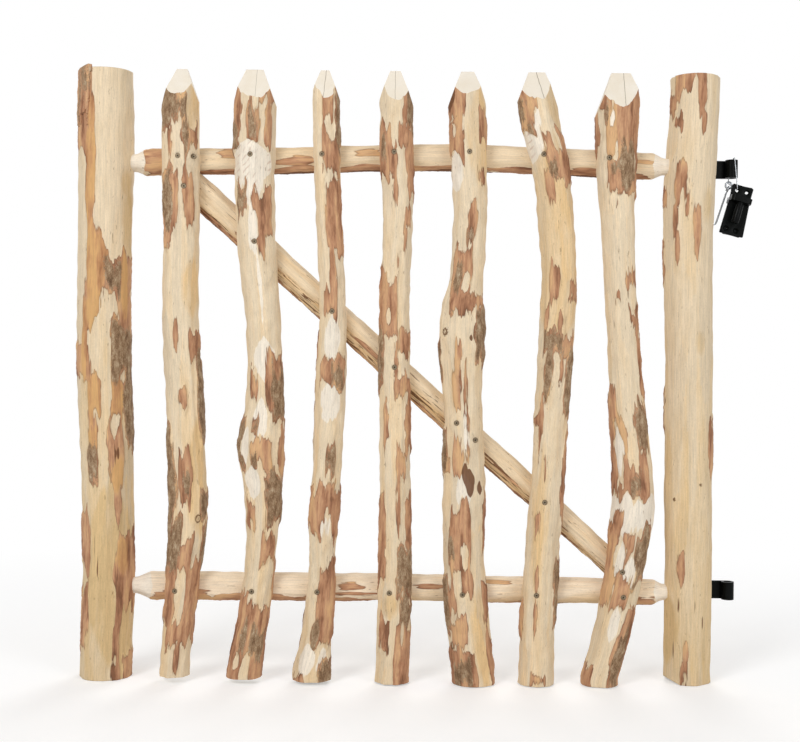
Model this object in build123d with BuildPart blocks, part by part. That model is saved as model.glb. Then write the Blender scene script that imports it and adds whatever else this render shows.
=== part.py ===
"""Rustic pole gate leaf for a sheep fold, with its hinge pins and hook tied to the upper strap.

Two round posts carry two rails in bored mortises. Seven cleft pickets are screwed to the front of
the rails and of a diagonal brace. Sizes are in millimetres. X runs from the latch post to the hinge
post, -Y is the picket side and Z is up. The origin is on the ground, in the middle of the leaf.
"""

import os
from bisect import bisect_right
from math import cos, radians, sin, sqrt

from build123d import *

# A round piece that starts at its plane and runs along the normal, or against it.
UPWARDS = (Align.CENTER, Align.CENTER, Align.MIN)
DOWNWARDS = (Align.CENTER, Align.CENTER, Align.MAX)

# The plane that holds the post, rail and brace axes lies a little behind the middle of the leaf.
FRAME_Y = 9.5

# Spacing of the sections that a pole is lofted through.
POST_STEP = 100
RAIL_STEP = 140
PICKET_STEP = 50

# Posts: height, middle in X and thickness of the round pole at each station.
LATCH_POST = [
    (0, -509, 87),
    (190, -506, 87),
    (400, -512, 90),
    (510, -517, 90),
    (720, -517, 90),
    (935, -516, 93),
    (1000, -517, 88),
]
HINGE_POST = [
    (0, 456, 78),
    (200, 457, 81),
    (440, 455, 81),
    (650, 453, 81),
    (755, 451, 86),
    (915, 458, 83),
    (1000, 461, 83),
]

# Rails: place along X, height and thickness between the shoulders, then the tenon heights.
TOP_RAIL = [(-450, 852, 45), (-190, 859, 45), (25, 865, 45), (165, 863, 46), (390, 854, 46)]
BOTTOM_RAIL = [(-435, 150, 48), (0, 150, 46), (400, 147, 43)]
TOP_TENON_HEIGHTS = (851, 853)
BOTTOM_TENON_HEIGHTS = (150, 146)
TENON_DIAMETER = 30
TENON_NECK = 5
TENON_DEPTH = 28
MORTISE_CLEARANCE = 0.15
HOLE_SPARE = 1

# Brace: two points on its straight axis, with the thickness there.
BRACE_TOP = (-352, 796)
BRACE_FOOT = (320, 203)
BRACE_TOP_DIAMETER = 51
BRACE_FOOT_DIAMETER = 41
BRACE_OVERRUN = 90
BRACE_LEFT_TRIM = -414
BIRDSMOUTH = 6
BRACE_GAP = 0.3

# Pickets: height, middle in X and width at each station, from the foot to the tip.
PICKETS = [
    [(9, -392, 50), (165, -378, 55), (270, -370, 63), (430, -376, 61), (590, -385, 62), (745, -385, 62),
     (930, -388, 63), (1000, -386, 58)],
    [(8, -278, 57), (115, -260, 51), (200, -251, 51), (275, -247, 59), (330, -249, 67), (380, -252, 77),
     (430, -248, 70), (485, -246, 62), (590, -250, 59), (690, -260, 64), (800, -266, 67), (930, -266, 70),
     (1000, -267, 62)],
    [(5, -165, 60), (117, -153, 51), (195, -150, 46), (250, -149, 51), (350, -143, 51), (485, -138, 52),
     (615, -136, 46), (750, -143, 44), (905, -150, 46), (1000, -152, 43)],
    [(2, -34, 56), (120, -31, 56), (300, -31, 53), (410, -33, 54), (615, -34, 52), (775, -31, 53),
     (825, -33, 56), (1000, -37, 53)],
    [(1, 101, 70), (120, 88, 72), (225, 81, 69), (300, 82, 72), (435, 79, 66), (490, 77, 69), (540, 76, 75),
     (580, 74, 78), (620, 77, 70), (645, 80, 62), (750, 87, 59), (905, 83, 63), (1000, 81, 60)],
    [(1, 202, 61), (120, 205, 59), (300, 216, 57), (435, 223, 56), (595, 232, 60), (670, 234, 59),
     (750, 229, 61), (805, 224, 62), (860, 215, 66), (905, 204, 66), (950, 197, 62), (1000, 194, 56)],
    [(1, 305, 58), (65, 321, 60), (120, 333, 62), (200, 348, 64), (285, 358, 72), (335, 358, 67),
     (465, 347, 60), (540, 341, 54), (700, 332, 56), (830, 326, 65), (935, 327, 70), (1000, 332, 64)],
]
PICKET_SEAT = 21
CROWN_BASE = 14
CROWN_RATIO = 0.4
SIDE_RATIO = 0.3
BACK_ALLOWANCE = 2

# Picket tips: width of the sawn flat and length of the front cut, one pair for each picket.
TIPS = [(17, 45), (28, 54), (14, 48), (17, 54), (21, 41), (27, 50), (31, 60)]
SIDE_CUT_ANGLE = 20
TIP_DEPTH = 12

# Wood screws: the picket and the place along X of each one, the height above the brace's axis for
# those in the brace, then the screw itself.
TOP_SCREWS = [(1, -387), (1, -363), (2, -270), (3, -155), (4, -38), (5, 84), (6, 204), (7, 310)]
BOTTOM_SCREWS = [(1, -386), (2, -262), (3, -156), (4, -39), (5, 79), (6, 199), (7, 339)]
BRACE_SCREWS = [
    (1, -377, -13),
    (2, -262, 0),
    (3, -136, 0),
    (4, -34, 0),
    (5, 67, 0),
    (5, 98, 0),
    (6, 211, 0),
    (7, 337, 0),
]
SCREW_LENGTH = 60
SCREW_RADIUS = 2
SCREW_HEAD_RADIUS = 3.9
SCREW_HEAD_DEPTH = 2.1
SCREW_POINT = 8
POINT_RADIUS = 0.3
SCREW_SUNK = 1
SCREW_CLEARANCE = 0.1
DRIVE_WIDTH = 2.4
DRIVE_DEPTH = 1.4
TENON_SCREW_INSET = 14

# Hinge straps: one bar each, rolled forward into an eye at the free end.
HINGE_X = 530.5
STRAP_HEIGHTS = (855, 145)
STRAP_WIDTH = 30
STRAP_THICKNESS = 4
STRAP_SEAT = 35
STRAP_LEFT = 440
STRAP_HOLES = (451, 470)
STRAP_HOLE_RADIUS = 3.3
STRAP_SEAT_PLAY = 0.2
EYE_RADIUS = 10.5
EYE_BORE_RADIUS = 6.55
EYE_SEAM = 0.8
COACH_RADIUS = 3
COACH_LENGTH = 42
COACH_HEAD_RADIUS = 5.8
COACH_HEAD_DEPTH = 4.2
COACH_POINT = 7

# Tie wire: places along X, behind the frame's plane and up, with the bend at each inner place. It runs
# from one end, behind the plates, through both plates, up in front of the eye, over its rim, down the
# bore, through the screw eye and back to the plates, where its two ends lie side by side.
WIRE_RADIUS = 0.8
WIRE_ROUTE = [
    (549.9, 27.4, 822.6),
    (537.9, 27.4, 819.6),
    (537.9, 16.8, 819.6),
    (532.5, 16.8, 872.8),
    (532.5, 23.5, 872.8),
    (527.2, 32.5, 840),
    (527.2, 37.1, 832.8),
    (527.2, 29.1, 829.6),
    (536.9, 27.4, 821.8),
    (549.9, 27.4, 824.8),
]
WIRE_BENDS = [1.8, 1.8, 3.3, 3.3, 1.8, 1.8, 1.8, 1.8]

# Pin plates: flat plates with a lug that holds the hinge pin.
PLATE_WIDTH = 35
PLATE_LENGTH = 85
PLATE_THICKNESS = 3
PLATE_HOLE_PITCH = 17
PLATE_HOLE_EDGE = 9.5
PLATE_HOLE_RADIUS = 2.75
PLATE_SINK_RADIUS = 5
PLATE_CORNER = 1.5
PLATE_HOLE = (537.9, 818.1)
FRONT_PLATE_FACE = 18.5
REAR_PLATE_FACE = 25.5
FRONT_TILT = 16
REAR_TILT = 11
LUG_FROM_END = 21
LUG_HEIGHT = 9
LUG_REACH = 20
LUG_CORNER = 7
PIN_RADIUS = 6.5
SPIGOT_RADIUS = 5
PIN_STANDOFF = 12
PIN_LENGTH = 36
PIN_CHAMFER = 1.5

# Cabin hook and the screw eye that it turns in.
RING_PLACE = (527.2, 32.6, 828.3)
RING_RADIUS = 5.4
STOCK_RADIUS = 1.6
LINK_GAP = 0.3
EYE_SHANK_ANGLE = 45
EYE_SHANK_RADIUS = 1.7
EYE_SHANK_LENGTH = 19
EYE_SHANK_POINT = 5
HOOK_RING_RADIUS = 5
HOOK_LEAN = 18
HOOK_REACH = 68
HOOK_BEND = 4
HOOK_PRONG = 12


def station_at(stations, place):
    """Middle and thickness of a pole at a place, on a smooth curve through its stations."""
    last = len(stations) - 1
    start = min(bisect_right(stations, (place, float("inf"))), last) - 1
    a, b = stations[start], stations[start + 1]
    before, after = stations[max(start - 1, 0)], stations[min(start + 2, last)]
    span = b[0] - a[0]
    share = (place - a[0]) / span
    values = []
    for k in (1, 2):
        leave = span * (b[k] - before[k]) / (b[0] - before[0])
        arrive = span * (after[k] - a[k]) / (after[0] - a[0])
        ease = share * share * (3 - 2 * share)
        bend = share * (1 - share) * ((1 - share) * leave - share * arrive)
        values.append(a[k] + ease * (b[k] - a[k]) + bend)
    return values


def even_stations(stations, step):
    """Stations at an even spacing along a pole, with its own ends."""
    first, last = stations[0][0], stations[-1][0]
    count = round((last - first) / step)
    places = [first + (last - first) * index / count for index in range(count + 1)]
    return [(place, *station_at(stations, place)) for place in places]


def brace_height(x):
    """Height of the brace's axis at a place along X."""
    slope = (BRACE_FOOT[1] - BRACE_TOP[1]) / (BRACE_FOOT[0] - BRACE_TOP[0])
    return BRACE_TOP[1] + slope * (x - BRACE_TOP[0])


def crown(width):
    """Thickness of a cleft picket at the top of its round front."""
    return CROWN_BASE + CROWN_RATIO * width


def picket_front(stations, x, height):
    """Depth of a picket's round front at a screw."""
    middle, width = station_at(stations, height)
    thickness = crown(width)
    rise = thickness * (1 - SIDE_RATIO)
    arc = ((width / 2) ** 2 + rise**2) / (2 * rise)
    return FRAME_Y - PICKET_SEAT - (thickness - arc + sqrt(arc**2 - (x - middle) ** 2))


def facing(x, y, height, direction):
    """Plane at a point with its normal along a direction."""
    return Plane(origin=(x, y, height), z_dir=direction)


def front_screws(picket_places):
    """Head planes of the screws that go through the pickets, given as (picket, x, height)."""
    return [
        facing(x, picket_front(PICKETS[number - 1], x, height) + SCREW_SUNK, height, (0, -1, 0))
        for number, x, height in picket_places
    ]


def tenon_place(post, height, side):
    """Inner face of a post, on the side (+1 or -1) that faces the rail."""
    middle, width = station_at(post, height)
    return middle + side * width / 2


def tenon_screw_plane(post, height, side):
    """Head plane of the screw that locks a tenon, driven in from the back of the post."""
    middle, width = station_at(post, height)
    offset = width / 2 - TENON_SCREW_INSET
    back = FRAME_Y + sqrt((width / 2) ** 2 - offset**2) - SCREW_SUNK
    return facing(middle + side * offset, back, height, (0, 1, 0))


def screw_holes(heads):
    """Countersunk clearance holes for wood screws, in the part that is being built."""
    with Locations(*heads):
        CounterSinkHole(
            radius=SCREW_RADIUS + SCREW_CLEARANCE,
            counter_sink_radius=SCREW_HEAD_RADIUS + SCREW_CLEARANCE,
            depth=SCREW_LENGTH + HOLE_SPARE,
        )


def make_post(stations, label):
    """Round pole with bored mortises and the clearance holes of the tenon screws."""
    with BuildPart() as post:
        for height, middle, width in even_stations(stations, POST_STEP):
            with BuildSketch(Plane((middle, FRAME_Y, height))):
                Circle(width / 2)
        loft()
        for owner, height, side in TENONS:
            if owner is stations:
                bottom = tenon_place(stations, height, side) - side * (TENON_DEPTH + HOLE_SPARE)
                with Locations(facing(bottom, FRAME_Y, height, (side, 0, 0))):
                    Cylinder(
                        TENON_DIAMETER / 2 + MORTISE_CLEARANCE,
                        2 * TENON_DEPTH,
                        align=UPWARDS,
                        mode=Mode.SUBTRACT,
                    )
        screw_holes([head for head, tenon in zip(TENON_HEADS, TENONS) if tenon[0] is stations])
        if stations is HINGE_POST:
            for height in STRAP_HEIGHTS:
                with Locations((STRAP_LEFT - STRAP_SEAT_PLAY, FRAME_Y + STRAP_SEAT, height)):
                    Box(
                        HINGE_X - STRAP_LEFT,
                        EYE_RADIUS * 2,
                        STRAP_WIDTH + 2 * STRAP_SEAT_PLAY,
                        align=(Align.MIN, Align.MIN, Align.CENTER),
                        mode=Mode.SUBTRACT,
                    )
                with Locations(*[facing(x, FRAME_Y + STRAP_SEAT, height, (0, 1, 0)) for x in STRAP_HOLES]):
                    Hole(COACH_RADIUS + SCREW_CLEARANCE, depth=COACH_LENGTH)
    post.part.label = label
    return post.part


def make_rail(stations, tenon_heights, heads, label):
    """Pole with a shaved cone and a round tenon at each end and a flat shaved front."""
    with BuildPart() as rail:
        for x, height, diameter in even_stations(stations, RAIL_STEP):
            with BuildSketch(Plane(origin=(x, FRAME_Y, height), x_dir=(0, 1, 0), z_dir=(1, 0, 0))):
                Circle(diameter / 2)
        loft()
        left_end = (stations[0], LATCH_POST, tenon_heights[0], 1)
        right_end = (stations[-1], HINGE_POST, tenon_heights[1], -1)
        for (shoulder, middle, diameter), post, height, side in (left_end, right_end):
            face = tenon_place(post, height, side)
            neck = face + side * TENON_NECK
            for x, z, radius in ((shoulder, middle, diameter / 2), (neck, height, TENON_DIAMETER / 2)):
                with BuildSketch(Plane(origin=(x, FRAME_Y, z), x_dir=(0, 1, 0), z_dir=(1, 0, 0))):
                    Circle(radius)
            loft()
            with Locations(facing(neck, FRAME_Y, height, (-side, 0, 0))):
                Cylinder(
                    TENON_DIAMETER / 2,
                    TENON_DEPTH + TENON_NECK,
                    align=UPWARDS,
                )
        split(bisect_by=facing(0, FRAME_Y - PICKET_SEAT, 0, (0, -1, 0)), keep=Keep.BOTTOM)
        screw_holes(heads)
        screw_holes([head for head, tenon in zip(TENON_HEADS, TENONS) if tenon[1] in tenon_heights])
    rail.part.label = label
    return rail.part


def make_picket(number):
    """Cleft pole with a flat back, a round front and a tip sawn on the front and on both sides."""
    stations = PICKETS[number - 1]
    tip, middle, _ = stations[-1]
    flat, front_cut = TIPS[number - 1]
    seat = FRAME_Y - PICKET_SEAT
    tip_crown = crown(station_at(stations, tip - front_cut)[1])
    front_angle = (tip_crown - TIP_DEPTH) / front_cut
    with BuildPart() as picket:
        for height, centre, width in even_stations(stations, PICKET_STEP):
            thickness = crown(width)
            side = thickness * SIDE_RATIO
            with BuildSketch(Plane(origin=(centre, seat, height), x_dir=(1, 0, 0), z_dir=(0, 0, 1))):
                with BuildLine():
                    Line((-width / 2, -side), (-width / 2, BACK_ALLOWANCE))
                    Line((-width / 2, BACK_ALLOWANCE), (width / 2, BACK_ALLOWANCE))
                    Line((width / 2, BACK_ALLOWANCE), (width / 2, -side))
                    ThreePointArc((width / 2, -side), (0, -thickness), (-width / 2, -side))
                make_face()
        loft()
        split(bisect_by=facing(0, seat, 0, (0, 1, 0)), keep=Keep.BOTTOM)
        for turn in (-1, 1):
            lean = radians(SIDE_CUT_ANGLE)
            cut = facing(middle + turn * flat / 2, seat, tip, (turn * cos(lean), 0, sin(lean)))
            split(bisect_by=cut, keep=Keep.BOTTOM)
        split(bisect_by=facing(middle, seat - TIP_DEPTH, tip, (0, -1, front_angle)), keep=Keep.BOTTOM)
        heads = TOP_HEADS + BOTTOM_HEADS + BRACE_HEADS
        places = TOP_PLACES + BOTTOM_PLACES + BRACE_PLACES
        screw_holes([head for head, place in zip(heads, places) if place[0] == number])
    picket.part.label = f"picket_{number}"
    return picket.part


def make_wood_screws(heads, label):
    """Countersunk wood screws with a square drive, one at each head plane."""
    with BuildPart() as screws:
        with Locations(*heads):
            Cylinder(SCREW_RADIUS, SCREW_LENGTH - SCREW_POINT, align=DOWNWARDS)
            Cone(
                SCREW_RADIUS,
                SCREW_HEAD_RADIUS,
                SCREW_HEAD_DEPTH,
                align=DOWNWARDS,
            )
            Box(DRIVE_WIDTH, DRIVE_WIDTH, 2 * DRIVE_DEPTH, mode=Mode.SUBTRACT)
        with Locations(*[head.offset(SCREW_POINT - SCREW_LENGTH) for head in heads]):
            Cone(POINT_RADIUS, SCREW_RADIUS, SCREW_POINT, align=DOWNWARDS)
    screws.part.label = label
    return screws.part


def make_strap(height, label):
    """Flat bar with two holes, rolled forward into an eye whose free end stops short of the bar."""
    back = FRAME_Y + STRAP_SEAT + STRAP_THICKNESS
    eye_y = back - EYE_RADIUS
    with BuildPart() as strap:
        with BuildSketch(Plane((0, 0, height - STRAP_WIDTH / 2))):
            with Locations((HINGE_X, eye_y)):
                Circle(EYE_RADIUS)
            with Locations((STRAP_LEFT, back)):
                Rectangle(HINGE_X - STRAP_LEFT, STRAP_THICKNESS, align=(Align.MIN, Align.MAX))
            with Locations((HINGE_X, eye_y)):
                Circle(EYE_BORE_RADIUS, mode=Mode.SUBTRACT)
            with Locations((HINGE_X - EYE_RADIUS, back - STRAP_THICKNESS)):
                Rectangle(EYE_RADIUS, EYE_SEAM, align=(Align.MIN, Align.MAX), mode=Mode.SUBTRACT)
        extrude(amount=STRAP_WIDTH)
        with Locations(*[facing(x, back, height, (0, 1, 0)) for x in STRAP_HOLES]):
            Hole(STRAP_HOLE_RADIUS, depth=STRAP_THICKNESS)
    strap.part.label = label
    return strap.part


def make_coach_screws(height, label):
    """Hex-head coach screws that hold a strap to the back of the post."""
    back = FRAME_Y + STRAP_SEAT + STRAP_THICKNESS
    heads = [facing(x, back, height, (0, 1, 0)) for x in STRAP_HOLES]
    with BuildPart() as screws:
        with BuildSketch(*heads):
            RegularPolygon(COACH_HEAD_RADIUS, 6)
        extrude(amount=COACH_HEAD_DEPTH)
        with Locations(*heads):
            Cylinder(COACH_RADIUS, COACH_LENGTH - COACH_POINT, align=DOWNWARDS)
        with Locations(*[head.offset(COACH_POINT - COACH_LENGTH) for head in heads]):
            Cone(POINT_RADIUS, COACH_RADIUS, COACH_POINT, align=DOWNWARDS)
    screws.part.label = label
    return screws.part


def plate_plane(facing_side, tilt):
    """Plane of a hanging plate: its origin is the corner hole, its Y axis runs up the plate."""
    face = FRONT_PLATE_FACE if facing_side < 0 else REAR_PLATE_FACE
    lean = radians(tilt)
    across = -facing_side
    return Plane(
        origin=(PLATE_HOLE[0], FRAME_Y + face, PLATE_HOLE[1]),
        x_dir=(across * cos(lean), 0, -across * sin(lean)),
        z_dir=(0, facing_side, 0),
    )


def make_pin_plate(facing_side, tilt, label):
    """Plate with four countersunk holes and a lug that is bored for the hinge pin."""
    plane = plate_plane(facing_side, tilt)
    middle = -facing_side * PLATE_HOLE_PITCH / 2
    low = PLATE_HOLE_EDGE - PLATE_LENGTH
    lug_top = PLATE_HOLE_EDGE - LUG_FROM_END
    with BuildPart() as plate:
        with BuildSketch(plane):
            with Locations((middle, low + PLATE_LENGTH / 2)):
                RectangleRounded(PLATE_WIDTH, PLATE_LENGTH, PLATE_CORNER)
        extrude(amount=-PLATE_THICKNESS)
        with BuildSketch(plane):
            with Locations((middle, lug_top - LUG_HEIGHT / 2)):
                Rectangle(PLATE_WIDTH, LUG_HEIGHT)
        extrude(amount=LUG_REACH)
        rounded = plate.edges().filter_by(lambda edge: abs(edge.length - LUG_HEIGHT) < 0.01)
        outer = rounded.sort_by(lambda edge: facing_side * edge.center().Y)[-2:]
        fillet(outer, LUG_CORNER)
        with Locations(plane):
            with Locations((middle, lug_top, PIN_STANDOFF)):
                with Locations(Rotation(90, 0, 0)):
                    Cylinder(
                        SPIGOT_RADIUS,
                        LUG_HEIGHT,
                        align=UPWARDS,
                        mode=Mode.SUBTRACT,
                    )
        pairs = [
            (middle + turn * PLATE_HOLE_PITCH / 2, row)
            for turn in (-1, 1)
            for row in (0, low + PLATE_HOLE_EDGE)
        ]
        with Locations(plane):
            with Locations(*pairs):
                CounterSinkHole(PLATE_HOLE_RADIUS, PLATE_SINK_RADIUS, depth=PLATE_THICKNESS)
    plate.part.label = label
    return plate.part


def make_hinge_pin(facing_side, tilt, label):
    """Round pin with a chamfered free end and a thinner spigot that is riveted into the lug."""
    plane = plate_plane(facing_side, tilt)
    middle = -facing_side * PLATE_HOLE_PITCH / 2
    lug_top = PLATE_HOLE_EDGE - LUG_FROM_END
    with BuildPart() as pin:
        with Locations(plane):
            with Locations((middle, lug_top, PIN_STANDOFF)):
                with Locations(Rotation(90, 0, 0)):
                    Cylinder(SPIGOT_RADIUS, LUG_HEIGHT, align=UPWARDS)
                    with Locations((0, 0, LUG_HEIGHT)):
                        Cylinder(PIN_RADIUS, PIN_LENGTH, align=UPWARDS)
        chamfer(pin.edges().filter_by(GeomType.CIRCLE).sort_by(Axis.Z)[0], PIN_CHAMFER)
    pin.part.label = label
    return pin.part


def hanging(lean, reach):
    """Point in the ring's plane at a reach from its centre, leaning towards the post."""
    x, depth, height = RING_PLACE
    return (x - reach * sin(radians(lean)), FRAME_Y + depth, height - reach * cos(radians(lean)))


# Where the screws go, from the poles that they pass through.
TOP_PLACES = [(n, x, station_at(TOP_RAIL, x)[0]) for n, x in TOP_SCREWS]
BOTTOM_PLACES = [(n, x, station_at(BOTTOM_RAIL, x)[0]) for n, x in BOTTOM_SCREWS]
BRACE_PLACES = [(n, x, brace_height(x) + lift) for n, x, lift in BRACE_SCREWS]
TOP_HEADS = front_screws(TOP_PLACES)
BOTTOM_HEADS = front_screws(BOTTOM_PLACES)
BRACE_HEADS = front_screws(BRACE_PLACES)
TENONS = [
    (LATCH_POST, TOP_TENON_HEIGHTS[0], 1),
    (LATCH_POST, BOTTOM_TENON_HEIGHTS[0], 1),
    (HINGE_POST, TOP_TENON_HEIGHTS[1], -1),
    (HINGE_POST, BOTTOM_TENON_HEIGHTS[1], -1),
]
TENON_HEADS = [tenon_screw_plane(*tenon) for tenon in TENONS]

os.makedirs("parts", exist_ok=True)

latch_post = make_post(LATCH_POST, "latch_post")
hinge_post = make_post(HINGE_POST, "hinge_post")
top_rail = make_rail(TOP_RAIL, TOP_TENON_HEIGHTS, TOP_HEADS, "top_rail")
bottom_rail = make_rail(BOTTOM_RAIL, BOTTOM_TENON_HEIGHTS, BOTTOM_HEADS, "bottom_rail")

# The room that the notched brace leaves round both rails.
with BuildPart() as rail_room:
    for stations in (TOP_RAIL, BOTTOM_RAIL):
        for x, height, diameter in even_stations(stations, RAIL_STEP):
            with BuildSketch(Plane(origin=(x, FRAME_Y, height), x_dir=(0, 1, 0), z_dir=(1, 0, 0))):
                Circle(diameter / 2 + BRACE_GAP)
        loft()

# Diagonal brace: a straight pole, notched over both rails and shaved flat in front.
with BuildPart() as diagonal_brace:
    run = Vector(BRACE_FOOT[0] - BRACE_TOP[0], 0, BRACE_FOOT[1] - BRACE_TOP[1])
    taper = (BRACE_TOP_DIAMETER - BRACE_FOOT_DIAMETER) / run.length
    top_end = (BRACE_TOP, BRACE_TOP_DIAMETER, -1)
    foot_end = (BRACE_FOOT, BRACE_FOOT_DIAMETER, 1)
    for (x, height), diameter, way in (top_end, foot_end):
        end = Vector(x, FRAME_Y, height) + run.normalized() * (way * BRACE_OVERRUN)
        with BuildSketch(Plane(origin=end, x_dir=(0, 1, 0), z_dir=run)):
            Circle((diameter - way * taper * BRACE_OVERRUN) / 2)
    loft()
    split(bisect_by=facing(0, FRAME_Y - PICKET_SEAT, 0, (0, -1, 0)), keep=Keep.BOTTOM)
    split(bisect_by=facing(BRACE_LEFT_TRIM, 0, 0, (-1, 0, 0)), keep=Keep.BOTTOM)
    top_middle, top_width = station_at(TOP_RAIL, BRACE_LEFT_TRIM)
    split(bisect_by=facing(0, 0, top_middle - top_width / 2 + BIRDSMOUTH, (0, 0, 1)), keep=Keep.BOTTOM)
    _, foot_middle, foot_width = BOTTOM_RAIL[-1]
    split(bisect_by=facing(0, 0, foot_middle + foot_width / 2 - BIRDSMOUTH, (0, 0, -1)), keep=Keep.BOTTOM)
    add(rail_room.part, mode=Mode.SUBTRACT)
    screw_holes(BRACE_HEADS)
diagonal_brace.part.label = "diagonal_brace"

pickets = [make_picket(number) for number in range(1, len(PICKETS) + 1)]

top_rail_screws = make_wood_screws(TOP_HEADS, "top_rail_screws")
bottom_rail_screws = make_wood_screws(BOTTOM_HEADS, "bottom_rail_screws")
brace_screws = make_wood_screws(BRACE_HEADS, "brace_screws")
tenon_screws = make_wood_screws(TENON_HEADS, "tenon_screws")

upper_hinge_strap = make_strap(STRAP_HEIGHTS[0], "upper_hinge_strap")
lower_hinge_strap = make_strap(STRAP_HEIGHTS[1], "lower_hinge_strap")
upper_strap_screws = make_coach_screws(STRAP_HEIGHTS[0], "upper_strap_screws")
lower_strap_screws = make_coach_screws(STRAP_HEIGHTS[1], "lower_strap_screws")

# Tie wire: one bent wire that carries the plates and the hook.
with BuildPart() as tie_wire:
    with BuildLine() as wire_line:
        FilletPolyline(*[(x, FRAME_Y + y, z) for x, y, z in WIRE_ROUTE], radius=WIRE_BENDS)
    with BuildSketch(Plane(origin=wire_line.line @ 0, z_dir=wire_line.line % 0)):
        Circle(WIRE_RADIUS)
    sweep()
tie_wire.part.label = "tie_wire"

front_pin_plate = make_pin_plate(-1, FRONT_TILT, "front_pin_plate")
front_hinge_pin = make_hinge_pin(-1, FRONT_TILT, "front_hinge_pin")
rear_pin_plate = make_pin_plate(1, REAR_TILT, "rear_pin_plate")
rear_hinge_pin = make_hinge_pin(1, REAR_TILT, "rear_hinge_pin")

# Screw eye: a closed ring with a threaded shank that points down behind the plates.
with BuildPart() as hook_screw_eye:
    with Locations(facing(*hanging(0, 0), (0, 1, 0))):
        Torus(RING_RADIUS, STOCK_RADIUS)
    shank = hanging(-EYE_SHANK_ANGLE, RING_RADIUS)
    along = (sin(radians(EYE_SHANK_ANGLE)), 0, -cos(radians(EYE_SHANK_ANGLE)))
    with Locations(facing(*shank, along)):
        Cylinder(
            EYE_SHANK_RADIUS,
            EYE_SHANK_LENGTH - EYE_SHANK_POINT,
            align=UPWARDS,
        )
        with Locations((0, 0, EYE_SHANK_LENGTH - EYE_SHANK_POINT)):
            Cone(EYE_SHANK_RADIUS, POINT_RADIUS, EYE_SHANK_POINT, align=UPWARDS)
hook_screw_eye.part.label = "hook_screw_eye"

# Cabin hook: a rod with a ring bent at one end and a prong turned back at the other.
hook_ring_reach = RING_RADIUS + HOOK_RING_RADIUS - 2 * STOCK_RADIUS - LINK_GAP
with BuildPart() as cabin_hook:
    hook_ring = hanging(HOOK_LEAN, hook_ring_reach)
    side_on = (cos(radians(HOOK_LEAN)), 0, -sin(radians(HOOK_LEAN)))
    with Locations(facing(*hook_ring, side_on)):
        Torus(HOOK_RING_RADIUS, STOCK_RADIUS)
    rod_start = hanging(HOOK_LEAN, hook_ring_reach + HOOK_RING_RADIUS)
    rod_end = hanging(HOOK_LEAN, HOOK_REACH)
    prong_end = (rod_end[0], rod_end[1] + HOOK_PRONG, rod_end[2])
    with BuildLine() as hook_line:
        FilletPolyline(rod_start, rod_end, prong_end, radius=HOOK_BEND)
    with BuildSketch(Plane(origin=hook_line.line @ 0, z_dir=hook_line.line % 0)):
        Circle(STOCK_RADIUS)
    sweep()
cabin_hook.part.label = "cabin_hook"

pieces = [
    latch_post,
    hinge_post,
    top_rail,
    bottom_rail,
    diagonal_brace.part,
    *pickets,
    top_rail_screws,
    bottom_rail_screws,
    brace_screws,
    tenon_screws,
    upper_hinge_strap,
    lower_hinge_strap,
    upper_strap_screws,
    lower_strap_screws,
    tie_wire.part,
    front_pin_plate,
    front_hinge_pin,
    rear_pin_plate,
    rear_hinge_pin,
    hook_screw_eye.part,
    cabin_hook.part,
]
for piece in pieces:
    export_step(piece, f"parts/{piece.label}.step")
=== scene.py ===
import math
import random

import bmesh
import bpy
import numpy as np
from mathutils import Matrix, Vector
from mathutils.bvhtree import BVHTree


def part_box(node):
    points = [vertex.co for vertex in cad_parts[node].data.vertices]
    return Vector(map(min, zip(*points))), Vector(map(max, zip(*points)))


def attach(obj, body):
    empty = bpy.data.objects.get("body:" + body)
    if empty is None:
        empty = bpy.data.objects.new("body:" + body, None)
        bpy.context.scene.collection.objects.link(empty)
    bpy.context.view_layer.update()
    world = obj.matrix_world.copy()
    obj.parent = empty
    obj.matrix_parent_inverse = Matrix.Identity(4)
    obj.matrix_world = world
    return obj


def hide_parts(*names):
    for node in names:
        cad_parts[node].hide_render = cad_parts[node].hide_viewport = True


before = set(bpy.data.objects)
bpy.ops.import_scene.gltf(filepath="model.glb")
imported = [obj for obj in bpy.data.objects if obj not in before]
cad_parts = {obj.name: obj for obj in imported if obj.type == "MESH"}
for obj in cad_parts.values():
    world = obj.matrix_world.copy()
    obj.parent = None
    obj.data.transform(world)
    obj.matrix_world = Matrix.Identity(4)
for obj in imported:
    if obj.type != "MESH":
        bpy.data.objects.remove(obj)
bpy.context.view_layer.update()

# Latch post: a round peeled pole with square sawn ends, bored for the two rail tenons. A drawknife
# has taken most of the bark off in long flat strokes, and strips of it are left in between.
COLUMNS = 96
READ_STEP = 0.005
RING_STEP = 0.0025
SPARE_LENGTH = 0.012
FRAME_Y = 0.0095
FRONT = Vector((0, -1, 0))
UP = Vector((0, 0, 1))
RIGHT = Vector((1, 0, 0))
ANGLES = np.linspace(0, 2 * math.pi, COLUMNS, endpoint=False)
EYE = Vector((-0.025, FRAME_Y - 2.0, 0.5095))


def filled_pits(values, window):
    """Closes pits that are narrower than the window along a pole, such as bored holes."""
    rows = np.arange(len(values))
    for column in range(values.shape[1]):
        read = np.isfinite(values[:, column])
        values[:, column] = np.interp(rows, rows[read], values[read, column])
    reach = int(round(window / READ_STEP / 2))
    for pick in (np.max, np.min):
        padded = np.pad(values, ((reach, reach), (0, 0)), mode="edge")
        values = pick(np.lib.stride_tricks.sliding_window_view(padded, 2 * reach + 1, axis=0), axis=-1)
    return values


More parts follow.
